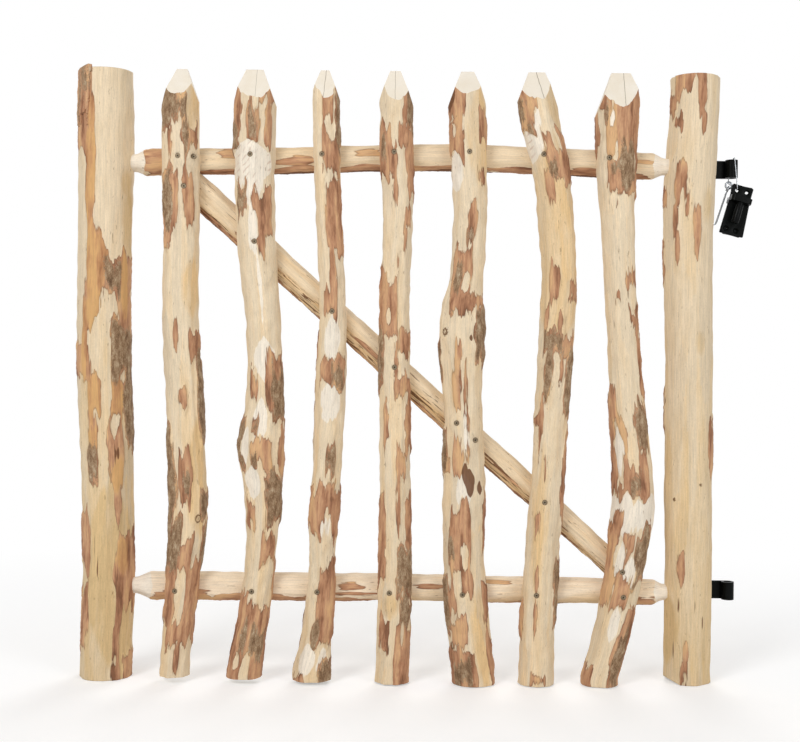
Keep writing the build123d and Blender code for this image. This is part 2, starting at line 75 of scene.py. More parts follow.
def read_pole(node, origin, run, side, first, last, pit):
    """Middle line and round outline of a solid pole between two places along its run."""
    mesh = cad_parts[node].data
    tree = BVHTree.FromPolygons([v.co for v in mesh.vertices], [p.vertices for p in mesh.polygons])
    far = 0.3
    places = np.arange(first, last + READ_STEP / 2, READ_STEP)
    edges = np.zeros((len(places), 2))
    for row, place in enumerate(places):
        for column, way in enumerate((-1, 1)):
            start = origin + run * place + side * (way * far)
            hit = tree.ray_cast(start, side * -way, 2 * far)
            edges[row, column] = far - hit[3] if hit[0] else np.nan
    edges = filled_pits(edges, pit)
    middles = (edges[:, 1] - edges[:, 0]) / 2
    outline = np.zeros((len(places), COLUMNS))
    for row, (place, middle) in enumerate(zip(places, middles)):
        centre = origin + run * place + side * middle
        for column, angle in enumerate(ANGLES):
            out = FRONT * math.cos(angle) + side * math.sin(angle)
            hit = tree.ray_cast(centre + out * far, -out, far)
            outline[row, column] = far - hit[3] if hit[0] else np.nan
    outline = filled_pits(outline, pit)
    return places, middles, outline


STROKE_HALF = (0.05, 0.24)
STROKE_DEPTH = (0.35, 1)
BACK_HEADING = 2.2
LEAST_TURN = 0.3
OUT_OF_REACH = 9.0


def shaved(outline, along, generator, strokes, deepest, flat_back):
    """Long flat drawknife strokes on a pole: the cut outline and a tone for each stroke."""
    cut = outline.copy()
    tone = np.zeros_like(outline)
    for _ in range(strokes):
        heading = generator.uniform(-math.pi, math.pi)
        middle = generator.uniform(along[0], along[-1])
        half = generator.uniform(*STROKE_HALF)
        depth = generator.uniform(*STROKE_DEPTH) * deepest
        own_tone = generator.uniform(-1, 1)
        if flat_back and abs(heading) > BACK_HEADING:
            continue
        rows = np.abs(along - middle) < half
        turn = np.cos(ANGLES - heading)
        reach = np.max(outline[rows] * turn, axis=1)
        face = reach - depth * (1 - ((along[rows] - middle) / half) ** 2)
        plane = np.where(turn > LEAST_TURN, face[:, None] / np.maximum(turn, LEAST_TURN), OUT_OF_REACH)
        tones = tone[rows]
        tones[plane < cut[rows]] = own_tone
        tone[rows] = tones
        cut[rows] = np.minimum(cut[rows], plane)
    return cut, tone


OUTSIDE = -12.0
EDGE_OF_VIEW = 0.97
ROUND_ENDS = 0.12
BITES = 4
BARK_SPREAD = 0.6
OUTER_SPREAD = 2
END_SLOPE = 0.3


def arc(x, half):
    """Way over a round pole, from the middle that the eye sees to a place at x, in mm."""
    bent = half * math.asin(max(-EDGE_OF_VIEW, min(EDGE_OF_VIEW, x / half)))
    return bent + max(0, abs(x) - EDGE_OF_VIEW * half) * math.copysign(2, x)


def bitten(across, long, generator):
    """How far the strokes from one side reach into a patch of bark."""
    reach = np.zeros_like(across)
    for _ in range(BITES):
        place, wide = generator.uniform(-1.1, 1.1), generator.uniform(0.3, 0.8)
        deep = min(generator.uniform(0.1, 0.75) * long, generator.uniform(8, 34))
        reach = np.maximum(reach, deep * (1 - ((across - place) / wide) ** 2))
    return reach


def painted(along, around, half_width, facing, patches, generator):
    """Depth in mm inside each kind of patch. Patches are given as a kind and then, for each one of it, the
    left and right edge across the pole as the eye sees them and the two ends along the pole, in mm. A knife
    stroke is a lens along the grain, and bark is what is left between the rounded ends of strokes that bite
    into it from above and below."""
    kinds = ("bark", "outer", "white", "tan", "orange", "dark", "hewn")
    skin = {kind: np.full(around.shape, OUTSIDE) for kind in kinds}
    listed = [(kind, *area) for kind, *areas in patches for area in areas]
    for kind, left, right, low, high in listed:
        middle, long = (low + high) / 2, (high - low) / 2
        half = float(np.interp(middle, along, half_width))
        a, b = arc(left, half) + facing * half, arc(right, half) + facing * half
        centre, wide = (a + b) / 2, (b - a) / 2
        towards_end = np.abs((along - middle) / long)[:, None]
        left_on = kind in ("brown", "orange", "grey")
        if left_on:
            slim = max(0, min(1, 1.25 - 3 * wide / long))
            sides = wide * (1.06 - 0.85 * slim * towards_end ** 1.6)
            across = (around - centre) / wide
            below = along[:, None] - (low - ROUND_ENDS * long) - bitten(across, long, generator)
            above = (high + ROUND_ENDS * long) - along[:, None] - bitten(across, long, generator)
            lens = np.minimum(sides - np.abs(around - centre), np.minimum(below, above) * END_SLOPE)
        else:
            lens = wide * (1 - towards_end ** 2.2) - np.abs(around - centre)
        lens = np.maximum(lens, OUTSIDE)
        if left_on:
            skin["bark"] = np.maximum(skin["bark"], lens + BARK_SPREAD)
            skin["white"] = np.minimum(skin["white"], -lens)
        if kind in ("bare", "white", "tan", "hewn"):
            for covered in ("bark", "outer", "dark"):
                skin[covered] = np.minimum(skin[covered], -lens)
        if kind == "grey":
            skin["bark"] = np.maximum(skin["bark"], lens + OUTER_SPREAD)
            skin["outer"] = np.maximum(skin["outer"], lens)
        if kind == "hewn":
            skin["white"] = np.maximum(skin["white"], lens)
        if kind in kinds:
            skin[kind] = np.maximum(skin[kind], lens)
    return skin


def hidden_patches(generator, half, low, high, count, reach):
    """Bark strips on the sides and the back of a pole, where the photo doesn't show it."""
    patches = []
    for _ in range(count):
        place = generator.uniform(1.05, reach) * half * generator.choice((-1, 1)) * math.pi / 2
        wide = generator.uniform(4, 13)
        middle = generator.uniform(low, high)
        long = generator.uniform(25, 95)
        kind = generator.choice(("brown", "brown", "orange", "grey", "white", "tan", "brown"))
        patches.append((kind, (place - wide, place + wide, middle - long, middle + long)))
    return patches


SCREW_GAP = 0.01
SHANK_LIMIT = 0.0035
HEAD_OPENING = 0.0056
HEAD_HOLE = 0.0047
HEAD_ROOM = 0.0043
HEAD_DEPTH = 0.003
SKIN_REACH = 0.007
SHADED = 4.0


def merged(node):
    """A copy of a solid's mesh, with its loose triangles joined."""
    bm = bmesh.new()
    bm.from_mesh(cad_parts[node].data)
    bmesh.ops.remove_doubles(bm, verts=bm.verts, dist=1e-6)
    return bm


def screw_heads(node):
    """Middle of each head of a group of wood screws."""
    bm = merged(node)
    screws = []
    for vert in bm.verts:
        own = [screw for screw in screws if (screw[0] - vert.co).xz.length < SCREW_GAP]
        if own:
            own[0].append(vert.co.copy())
        else:
            screws.append([vert.co.copy()])
    bm.free()
    heads = []
    for screw in screws:
        x, z = [(min(co[axis] for co in screw) + max(co[axis] for co in screw)) / 2 for axis in (0, 2)]
        broad = [co.y for co in screw if math.hypot(co.x - x, co.z - z) > SHANK_LIMIT]
        heads.append(Vector((x, sum(broad) / len(broad), z)))
    return heads


def sink(bm, head, way):
    """Countersink for one screw: the skin is opened round the head and folded in under it; its walls get
    painted shade.
    """
    def gap(vert):
        return math.hypot(vert.co.x - head.x, vert.co.z - head.z)

    def ring_to(verts, radius, y):
        for vert in verts:
            away = Vector((vert.co.x - head.x, 0, vert.co.z - head.z)).normalized() * radius
            vert.co = (head.x + away.x, vert.co.y if y is None else y, head.z + away.z)

    inside = [vert for vert in bm.verts if gap(vert) < HEAD_OPENING and abs(vert.co.y - head.y) < SKIN_REACH]
    bmesh.ops.delete(bm, geom=inside, context="VERTS")
    rim = [edge for edge in bm.edges if edge.is_boundary]
    mood_layer = bm.verts.layers.float_color["mood"]
    ring_to({vert for edge in rim for vert in edge.verts}, HEAD_HOLE, None)
    for radius, depth in ((HEAD_ROOM, 0.0), (HEAD_ROOM * 0.95, HEAD_DEPTH)):
        made = bmesh.ops.extrude_edge_only(bm, edges=rim)["geom"]
        walls = [item for item in made if isinstance(item, bmesh.types.BMVert)]
        ring_to(walls, radius, head.y - way * depth)
        # The sunk walls take the dark colour through the dark-bark channel: painted shade in the hole.
        for vert in walls:
            vert[mood_layer] = (*vert[mood_layer][:3], SHADED)
        rim = [item for item in made if isinstance(item, bmesh.types.BMEdge) and item.is_boundary]
    bmesh.ops.edgeloop_fill(bm, edges=rim)


def placed(bm, name, *materials):
    """Puts a mesh into the scene."""
    mesh = bpy.data.meshes.new(name)
    bm.to_mesh(mesh)
    bm.free()
    for material in materials:
        mesh.materials.append(material)
    piece = bpy.data.objects.new(name, mesh)
    bpy.context.scene.collection.objects.link(piece)
    return piece


def settled(bm, name, body, slot, *materials):
    """Puts a mesh into the scene as a piece that rides on a body."""
    piece = placed(bm, name, *materials)
    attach(piece, body)
    return piece


SWELLS = 14
NICKS = 14
FULL_TURN = 6.28
BARK_THICKNESS = 0.0009
BARK_ROUGHNESS = 0.00022
SKIN_INSET = 0.0008
HEAD_HOLD = 0.012
NO_KNOT = -3.0
KNOT_STRETCH = 0.8
NO_CRACK = 50
SAW_CUT = 0.0006
NEAR = 1e-5


def make_pole(node, origin, run, side, span, patches, material, slot, seed, hidden, pit=0.012, strokes=90,
              deepest=0.0026, swell=0.0008, flat_back=False, hold=None, planes=(), heads=(), knots=(),
              seats=(), splinters=(), crack=None):
    """A peeled pole that follows its solid, with its bark, strokes, sawn ends and holes. The solid is read
    over the span, with holes up to pit closed, and a pole with a tip runs on from there to hold."""
    generator = random.Random(seed)
    first, last = span
    places, middles, outline = read_pole(node, origin, run, side, first, last, pit)
    start, stop = first - SPARE_LENGTH, (hold if hold else last) + SPARE_LENGTH
    along = np.linspace(start, stop, int(round((stop - start) / RING_STEP)) + 1)
    slope = (middles[-1] - middles[-8]) / (places[-1] - places[-8]) if hold else 0
    middle = np.interp(along, places, middles) + slope * np.maximum(along - places[-1], 0)
    radius = np.stack([np.interp(along, places, outline[:, k]) for k in range(COLUMNS)], axis=1)
    half_width = (radius[:, COLUMNS // 4] + radius[:, 3 * COLUMNS // 4]) / 2 * 1000

    # Surface distance from the middle of the front, to the right and to the left.
    x, y = radius * np.sin(ANGLES), radius * np.cos(ANGLES)
    step = np.hypot(np.diff(x, axis=1, append=x[:, :1]), np.diff(y, axis=1, append=y[:, :1])) * 1000
    around = np.cumsum(step, axis=1) - step
    whole = step.sum(axis=1, keepdims=True)
    around = np.where(around > whole / 2, around - whole, around)

    usual = float(np.median(half_width))
    reach = 1.25 if flat_back else 1.95
    patches = patches + hidden_patches(generator, usual, first * 1000, last * 1000, hidden, reach)
    to_eye = EYE - (origin + run * (first + last) / 2)
    facing = math.atan2(to_eye.dot(side), to_eye.dot(FRONT))
    skin = painted(along * 1000, around, half_width, facing, patches, generator)

    # A slow swell of the whole pole, then the strokes, which stop at the bark and at the screws.
    swelling = np.zeros_like(radius)
    for _ in range(SWELLS):
        turns, waves = generator.randint(1, 6), generator.uniform(-34, 34)
        phase, strength = generator.uniform(0, FULL_TURN), generator.uniform(0.4, 1)
        slant = turns * ANGLES[None, :] + phase + FULL_TURN * waves * along[:, None]
        swelling += np.sin(slant) * strength
    for _ in range(NICKS):
        place, turn = generator.uniform(first, last), generator.uniform(-2, 2)
        long, wide = generator.uniform(0.004, 0.011), generator.uniform(0.15, 0.4)
        apart = (np.abs(ANGLES - turn % (2 * math.pi)) + math.pi) % (2 * math.pi) - math.pi
        deep = generator.uniform(2, 6) * np.exp(-((along - place) / long) ** 2)[:, None]
        swelling -= deep * np.exp(-((apart / wide) ** 2))
    cut, tone = shaved(radius, along, generator, strokes, deepest, flat_back)
    held = np.zeros_like(radius)
    for head in heads:
        place = (head - origin).dot(run)
        across = (head - origin).dot(side) - np.interp(place, along, middle)
        gap = np.hypot((along - place)[:, None], x - across)
        held = np.maximum(held, np.clip(1.6 - gap / HEAD_HOLD, 0, 1))
    cover = np.maximum(np.clip(skin["bark"] / 3 + 0.5, 0, 1), held)
    knot_field = np.full(radius.shape, NO_KNOT)
    rise = np.zeros_like(radius)
    for offset, height, size, dome, stain in knots:
        half = float(np.interp(height, along * 1000, half_width))
        off_along = (along * 1000 - height)[:, None] * KNOT_STRETCH
        gap = np.hypot(around - arc(offset, half) - facing * half, off_along)
        knot_field = np.maximum(knot_field, np.where(gap < 2 * size, stain - gap / size, NO_KNOT))
        rise += dome * np.exp(-((gap / size) ** 2) / 2)
    shell = cover * radius + (1 - cover) * cut
    shell += BARK_THICKNESS * (np.clip(skin["bark"] / 2, 0, 1) + 0.6 * np.clip(skin["outer"] / 3, 0, 1))
    shell += swelling * swell / 3 * (1 - 0.8 * held) - SKIN_INSET * (1 - held) + rise * 0.001
    rough = np.random.RandomState(seed).normal(size=(radius.shape[0] + 1, COLUMNS + 1))
    rough = (rough[1:, 1:] + rough[:-1, 1:] + rough[1:, :-1] + rough[:-1, :-1]) / 2
    shell += BARK_ROUGHNESS * rough * np.clip(skin["bark"] / 2, 0.1, 1) * (1 - held)
    for place, begin, end, wide, deep in splinters:
        way = np.clip(1 - ((along * 1000 - (begin + end) / 2) / ((end - begin) / 2)) ** 2, 0, 1)[:, None]
        shell -= 0.001 * deep * np.sqrt(way) * np.exp(-(((around - place) / wide) ** 2))

    # The skin starts as a flat grid, which is wrapped round the pole and joined along its back.
    bm = bmesh.new()
    rows = len(along)
    bmesh.ops.create_grid(bm, x_segments=COLUMNS, y_segments=rows - 1, size=0.5)
    grain_layer = bm.verts.layers.float_vector.new("grain")
    skin_layer = bm.verts.layers.float_color.new("skin")
    mood_layer = bm.verts.layers.float_color.new("mood")
    crack_layer = bm.verts.layers.float.new("crack")
    hewn_layer = bm.verts.layers.float.new("hewn")
    shift = Vector((generator.uniform(-9, 9), generator.uniform(-9, 9), generator.uniform(-9, 9)))
    for vert in bm.verts:
        column = int(round((vert.co.x + 0.5) * COLUMNS)) % COLUMNS
        row = int(round((vert.co.y + 0.5) * (rows - 1)))
        angle, reach = ANGLES[column], shell[row, column]
        centre = origin + run * along[row] + side * middle[row]
        vert.co = centre + FRONT * (reach * math.cos(angle)) + side * (reach * math.sin(angle))
        scale = reach / radius[row, column] * usual / 1000
        vert[grain_layer] = Vector((scale * math.sin(angle), scale * math.cos(angle), along[row])) + shift
        vert[skin_layer] = [skin[kind][row, column] for kind in ("bark", "outer", "white", "tan")]
        vert[mood_layer] = (skin["orange"][row, column], tone[row, column], knot_field[row, column],
                            skin["dark"][row, column])
        vert[hewn_layer] = skin["hewn"][row, column]
        vert[crack_layer] = NO_CRACK
        if crack:
            (top_x, top_z), (low_x, low_z), fine = crack
            line = top_x + (low_x - top_x) * (vert.co.z - top_z) / (low_z - top_z)
            vert[crack_layer] = (vert.co.x - line) * 1000 * fine
    bmesh.ops.remove_doubles(bm, verts=bm.verts, dist=NEAR)
    bmesh.ops.holes_fill(bm, edges=bm.edges, sides=0)
    bmesh.ops.recalc_face_normals(bm, faces=bm.faces)
    for face in bm.faces:
        face.smooth = True

    # Each sawn end is cut flat and closed.
    for place, normal in planes:
        bmesh.ops.bisect_plane(bm, geom=bm.verts[:] + bm.edges[:] + bm.faces[:], plane_co=place,
                               plane_no=normal, clear_outer=True, dist=1e-6)
        rim = [edge for edge in bm.edges if edge.is_boundary
               and all(abs((vert.co - place).dot(normal)) < NEAR for vert in edge.verts)]
        bmesh.ops.edgeloop_fill(bm, edges=rim, mat_nr=1)

    # Flat seats for straps, pared into the back between two saw cuts.
    for level, height, depth in seats:
        for cut_height in (-height / 2, -height / 2 - SAW_CUT, height / 2, height / 2 + SAW_CUT):
            bmesh.ops.bisect_plane(bm, geom=bm.verts[:] + bm.edges[:] + bm.faces[:],
                                   plane_co=(0, 0, level + cut_height), plane_no=UP, dist=1e-7)
        for vert in bm.verts:
            if abs(vert.co.z - level) < height / 2 + NEAR and vert.co.y > depth:
                vert.co.y = depth

    for head in heads:
        sink(bm, head, -1 if head.y < FRAME_Y else 1)
    bmesh.ops.recalc_face_normals(bm, faces=bm.faces)
    pole = settled(bm, node + "_pole", "leaf", slot, material, cut_wood)
    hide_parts(node)
    return pole


def node_maker(owner):
    """Tools that add nodes to a material or a world. A given socket is linked, and other values are set."""
    tree = owner.node_tree

    def feed(node, inputs):
        for name, value in inputs.items():
            if isinstance(value, bpy.types.NodeSocket):
                tree.links.new(value, node.inputs[name])
            else:
                node.inputs[name].default_value = value

    def make(kind, inputs, output=0, **settings):
        node = tree.nodes.new("ShaderNode" + kind)
        for name, value in settings.items():
            setattr(node, name, value)
        feed(node, inputs)
        return node.outputs[output]

    def sums(operation, *values, clamp=False):
        return make("Math", dict(enumerate(values)), operation=operation, use_clamp=clamp)

    def scaled(value, by, plus=0.0):
        return sums("MULTIPLY_ADD", value, by, plus)

    def mixed(factor, first, second, blend="MIX"):
        return make("Mix", {0: factor, 6: first, 7: second}, 2, data_type="RGBA", blend_type=blend)

    def ramp(value, low, high, to_low=0.0, to_high=1.0):
        return make("MapRange", {0: value, 1: low, 2: high, 3: to_low, 4: to_high})

    def noise(vector, stretch, scale, detail=3.0, rough=0.55):
        spread = make("VectorMath", {0: vector, 1: stretch}, operation="MULTIPLY")
        return make("TexNoise", {"Vector": spread, "Scale": scale, "Detail": detail, "Roughness": rough})

    return feed, make, sums, scaled, mixed, ramp, noise


def new_finish(name):
    """A material with its shader and the tools that add nodes to it."""
    material = bpy.data.materials.new(name)
    material.use_nodes = True
    return material, material.node_tree.nodes["Principled BSDF"], node_maker(material)


def shade(red, green, blue):
    """A colour given as it is seen on a screen, from 0 to 255."""
    def straight(value):
        value /= 255
        return value / 12.92 if value <= 0.04045 else ((value + 0.055) / 1.055) ** 2.4
    return (straight(red), straight(green), straight(blue), 1)


FRESH_WHITE = shade(241, 231, 215)
SLIT_BROWN = shade(140, 106, 72)
CHATTER_BROWN = shade(200, 166, 144)
DARK_BARK_AND_SHADE = shade(112, 74, 48)
KNOT_BROWN = shade(108, 76, 46)
AMBER = (0.95, 0.9, 0.74, 1)
BARK_STOPS = [(0.28, shade(134, 93, 68)), (0.42, shade(176, 128, 96)),
              (0.56, shade(200, 154, 118)), (0.72, shade(218, 176, 130))]
OUTER_STOPS = [(0.20, shade(98, 73, 52)), (0.42, shade(139, 110, 82)),
               (0.58, shade(164, 137, 107)), (0.82, shade(201, 182, 154))]


def peeled_skin(name, cream, tan, warmth, splits=0.0, amber=0.0):
    """Peeled wood with strips of bark. Its patches come from the pole's own attributes. Warmth is how tan
    its lower end is, splits how dark the long splits are that lie along its tan side, and amber how yellow
    its orange bark is."""
    material, shader, tools = new_finish(name)
    feed, make, sums, scaled, mixed, ramp, noise = tools
    grain = make("Attribute", {}, 1, attribute_name="grain")
    skin_node = make("Attribute", {}, attribute_name="skin").node
    mood_node = make("Attribute", {}, attribute_name="mood").node
    bark_field, outer_field, white_field = make("SeparateColor", {0: skin_node.outputs["Color"]}).node.outputs
    orange_field, tone, knot_field = make("SeparateColor", {0: mood_node.outputs["Color"]}).node.outputs
    tan_field, dark_field = skin_node.outputs["Alpha"], mood_node.outputs["Alpha"]

    def coloured(value, stops):
        ramp_node = make("ValToRGB", {0: value}).node
        elements = ramp_node.color_ramp.elements
        elements[0].position, elements[0].color = stops[0]
        elements[1].position, elements[1].color = stops[-1]
        for position, colour in stops[1:-1]:
            elements.new(position).color = colour
        return ramp_node.outputs[0]

    def brightened(colour, factor):
        return mixed(1.0, colour, make("CombineColor", {0: factor, 1: factor, 2: factor}), "MULTIPLY")

    # Torn edges: broad waves and long fibres, both drawn out along the grain.
    waves = noise(grain, (1, 1, 0.17), 96, 2.0, 0.5)
    shreds = noise(grain, (1, 1, 0.06), 330, 2, 0.55)
    fibres = noise(grain, (1, 1, 0.04), 560, 3, 0.6)
    drift = noise(grain, (1, 1, 0.18), 64, 4, 0.6)
    specks = noise(grain, (1, 1, 0.6), 520, 3, 0.7)
    torn = scaled(shreds, 5.0, scaled(waves, 15.0, -10.0))
    bark_depth = sums("ADD", bark_field, torn)
    bark = ramp(bark_depth, -0.35, 0.35)
    outer = ramp(sums("ADD", sums("ADD", outer_field, torn), scaled(specks, 9.0, -4.5)), -0.8, 0.8)
    white = ramp(sums("ADD", white_field, torn), -0.8, 0.8)
    tan_part = ramp(sums("ADD", tan_field, torn), -6.0, 5.0)
    orange = sums("ADD", orange_field, torn)
    dark = ramp(scaled(torn, 0.3, dark_field), -0.3, 0.5)
    hewn = ramp(make("Attribute", {}, 2, attribute_name="hewn"), -0.5, 1.5)

    # Bare wood: cream to tan, with streaks, short slits and the chatter of a knife on hewn spots.
    height = make("SeparateXYZ", {0: make("TexCoord", {}, 3)}, 2)
    tanned = scaled(tan_part, 0.65, ramp(height, 0.75, 0.1, 0.0, warmth))
    wood = mixed(sums("ADD", tanned, scaled(tone, 0.24, scaled(drift, 1.5, -0.72)), clamp=True), cream, tan)
    wood = mixed(scaled(white, 0.85), wood, FRESH_WHITE)
    streaks = scaled(fibres, 0.52, scaled(shreds, 0.24, scaled(specks, 0.3, 0.475)))
    wood = brightened(wood, scaled(tone, 0.06, streaks))
    slits = ramp(noise(grain, (1, 1, 0.22), 250, 3, 0.6), 0.66, 0.72)
    wood = mixed(scaled(slits, 0.55), wood, SLIT_BROWN)
    slant = make("VectorMath", {0: grain, 1: (-1, 0, 1)}, operation="MULTIPLY")
    chatter = make("TexWave", {"Vector": slant, "Scale": 52.0, "Distortion": 3.4, "Detail": 2.0,
                               "Detail Scale": 0.9}, 1, bands_direction="DIAGONAL")
    chatter = sums("MULTIPLY", sums("MULTIPLY", hewn, ramp(waves, 0.45, 0.6)), ramp(chatter, 0.72, 0.98))
    wood = mixed(scaled(chatter, 0.5), wood, CHATTER_BROWN)

    # Bark: brown to orange inner bark with painted shade at its edge, grey outer bark, dark spots and knots.
    hue = sums("ADD", scaled(shreds, 0.28, -0.14), scaled(drift, 1.35, -0.165))
    hue = sums("ADD", hue, ramp(orange, -2.0, 2.0, -0.02, 0.13))
    bark_colour = brightened(coloured(hue, BARK_STOPS), scaled(fibres, 0.5, 0.75))
    if amber:
        bark_colour = mixed(ramp(orange, -2.0, 2.0, 0.0, amber), bark_colour, AMBER, "MULTIPLY")
    # Painted shade: the bark is darker near its edge, where it stands above the bare wood.
    bark_colour = brightened(bark_colour, ramp(bark_depth, 0.1, 1.3, 0.6, 1.0))
    mottle = noise(grain, (1, 1, 0.5), 130, 3, 0.6)
    grey = scaled(specks, 0.7, scaled(shreds, 0.3, scaled(mottle, 1.0, -0.5)))
    bark_colour = mixed(outer, bark_colour, coloured(grey, OUTER_STOPS))
    surface = mixed(bark, wood, bark_colour)
    # This dark colour serves the dark bark marks and also paints shade on the countersink walls.
    dark_colour = brightened(DARK_BARK_AND_SHADE, scaled(fibres, 0.9, 0.55))
    surface = mixed(scaled(dark, 0.94), surface, dark_colour)
    knot = sums("ADD", knot_field, scaled(specks, 1.4, -0.7))
    ring = ramp(sums("ABSOLUTE", sums("SUBTRACT", knot, 0.15)), 0.1, 0.42, 0.95, 0.0)
    surface = mixed(sums("MAXIMUM", ring, ramp(knot, 0.35, 0.9, 0.0, 0.5)), surface, KNOT_BROWN)

    relief = scaled(bark, 0.8, scaled(fibres, 0.6, scaled(sums("MULTIPLY", outer, specks), 0.9)))
    relief = scaled(slits, -0.4, scaled(chatter, -0.8, relief))
    if splits:
        strands = scaled(ramp(tan_field, -4.0, 4.0), 0.14, noise(grain, (1, 1, 0.05), 380, 2, 0.55))
        lines = ramp(strands, 0.68, 0.71, 0.0, splits)
        surface = mixed(lines, surface, dark_colour)
        relief = sums("SUBTRACT", relief, lines)
    bump = make("Bump", {"Height": relief, "Strength": 0.6, "Distance": 0.001})
    feed(shader, {"Base Color": surface, "Normal": bump, "Roughness": 0.72, "Specular IOR Level": 0.22})
    return material


def sawn_end(name):
    """Fresh saw cut: pale wood with faint growth rings, saw marks and a drying crack."""
    material, shader, tools = new_finish(name)
    feed, make, sums, scaled, mixed, ramp, noise = tools
    grain = make("Attribute", {}, 1, attribute_name="grain")
    crack = make("Attribute", {}, 2, attribute_name="crack")
    place = make("TexCoord", {}, 3)
    fibres = noise(grain, (1, 1, 0.07), 480, 3, 0.6)
    cloud = noise(place, (1, 1, 1), 30, 3, 0.6)
    rings = make("TexWave", {"Vector": place, "Scale": 170.0, "Distortion": 3.0, "Detail": 2.0,
                             "Detail Scale": 0.6}, 0, bands_direction="DIAGONAL")
    tint = sums("ADD", scaled(cloud, 0.9, -0.25), scaled(fibres, 0.35), clamp=True)
    surface = mixed(tint, shade(246, 239, 227), shade(232, 218, 194))
    surface = mixed(scaled(rings, 0.10), surface, shade(212, 190, 156))
    wander = scaled(noise(place, (1, 1, 1), 60, 2), 3.0, -1.5)
    split = ramp(sums("ABSOLUTE", sums("ADD", crack, wander)), 0.25, 0.75, 0.75, 0.0)
    surface = mixed(split, surface, shade(120, 100, 78))
    relief = sums("SUBTRACT", scaled(fibres, 0.5, scaled(rings, 0.25)), split)
    bump = make("Bump", {"Height": relief, "Strength": 0.4, "Distance": 0.0006})
    feed(shader, {"Base Color": surface, "Normal": bump, "Roughness": 0.78, "Specular IOR Level": 0.2})
    return material


post_wood = peeled_skin("post_wood_peeled", shade(229, 209, 178), shade(214, 184, 136), 0.55, amber=1.0)
cut_wood = sawn_end("wood_sawn_end")
tenon_heads = screw_heads("tenon_screws")
LATCH_X = -0.513
POST_SPAN = (0.006, 0.994)
POST_STYLE = {"pit": 0.045, "swell": 0.0005, "hidden": 26}
SQUARE_ENDS = [(Vector((0, 0, 0)), -UP), (Vector((0, 0, 1)), UP)]
LATCH_BARK = [
    ("tan", (-34, 40, 20, 330)), ("brown", (-58, -27, 880, 1060), (-46, -32, 850, 905)),
    ("orange", (-33, -18, 715, 960)), ("bare", (-46, -33, 806, 872)),
    ("tan", (28, 42, 790, 836), (29, 46, 676, 806)), ("orange", (-30, 2, 612, 752)),
    ("brown", (-6, 44, 618, 706), (-32, -9, 600, 654)), ("grey", (1, 25, 628, 684)),
    ("bare", (-17, 35, 678, 960), (-9, -3, 592, 640), (4, 19, 588, 630)),
    ("orange", (-34, -10, 570, 626), (-36, -26, 470, 602)), ("brown", (-46, -25, 488, 552)),
    ("orange", (-28, -7, 416, 512)), ("brown", (-28, -14, 398, 440)), ("orange", (-29, -15, 372, 416)),
    ("grey", (-30, -17, 322, 394)), ("brown", (-27, -18, 318, 352)), ("orange", (25, 38, 590, 708)),
    ("brown", (23, 46, 528, 634)), ("orange", (10, 25, 522, 598)),
    ("grey", (13, 48, 496, 588), (30, 48, 382, 520)), ("orange", (8, 29, 424, 508)),
    ("brown", (1, 28, 320, 428)), ("bare", (6, 21, 392, 438)), ("orange", (5, 25, 312, 368)),
    ("dark", (11, 14.5, 346, 392), (15, 19.5, 360, 382)), ("bare", (-24, 12, 486, 606), (-5, 11, 424, 540)),
    ("brown", (11, 22, 252, 322)), ("orange", (12, 30, 180, 240)),
    ("brown", (12, 44, 100, 248), (10, 27, 84, 152), (10, 19, 22, 136), (8, 26, -40, 54)),
    ("tan", (20, 30, 5, 122)), ("brown", (28, 48, -22, 52), (-48, -31, 180, 276), (-48, -34, 40, 156)),
    ("dark", (-25, -22.6, 192, 242), (-19.5, -17.4, 172, 214)),
]
latch_pole = make_pole("latch_post", Vector((LATCH_X, FRAME_Y, 0)), UP, RIGHT, POST_SPAN, LATCH_BARK,
                       post_wood, "post_wood", seed=11, planes=SQUARE_ENDS,
                       heads=[head for head in tenon_heads if head.x < 0], **POST_STYLE)

# Bark flap: the thick outer bark that is left on the latch post's top corner, lifted a little from the
# wood and standing a few millimetres above the saw cut.
FLAP_THICKNESS = 0.0016
FLAP_TOP = 0.004
FLAP_FOOT = 0.905
FLAP_DEPTH = 0.006
FLAP_EDGE = -19
FLAP_NARROWS = 8
FLAP_MIDDLE = -24
FLAP_HALF = 20
LIFT_FROM = 0.985
TEETH = 60
TOOTH_LENGTH = 0.03
TOOTH_RISE = 0.0012
FLAP_SKIN = (8, -0.8, OUTSIDE, OUTSIDE)
flap_edge = random.Random(8)
ragged = [flap_edge.uniform(0, 1) for _ in range(TEETH)]
bm = bmesh.new()
bm.from_mesh(latch_pole.data)
flap_skin = bm.verts.layers.float_color["skin"]
outside = []
for face in bm.faces:
    place = face.calc_center_median()
    across = (place.x - LATCH_X) * 1000
    tooth = ragged[int(across + TEETH) % TEETH]
    right_edge = FLAP_EDGE - FLAP_NARROWS * (1 - place.z) / 0.1 + 2 * ragged[int(place.z * 200) % TEETH]
    behind = place.y > FRAME_Y - FLAP_DEPTH
    below = place.z < FLAP_FOOT + TOOTH_LENGTH * tooth
    if face.normal.z > 0.5 or behind or below or across > right_edge:
        outside.append(face)
bmesh.ops.delete(bm, geom=outside, context="FACES")
for vert in bm.verts:
    across = (vert.co.x - LATCH_X) * 1000
    tooth = ragged[int(across + TEETH) % TEETH]
    rise = max(0, vert.co.z - LIFT_FROM) / (1 - LIFT_FROM)
    vert.co.z += rise * (FLAP_TOP * (1 - abs(across - FLAP_MIDDLE) / FLAP_HALF) + TOOTH_RISE * tooth)
    vert[flap_skin] = FLAP_SKIN
bmesh.ops.solidify(bm, geom=bm.faces[:], thickness=-FLAP_THICKNESS)
bmesh.ops.recalc_face_normals(bm, faces=bm.faces)
settled(bm, "latch_bark_flap", "leaf", "post_wood", post_wood)

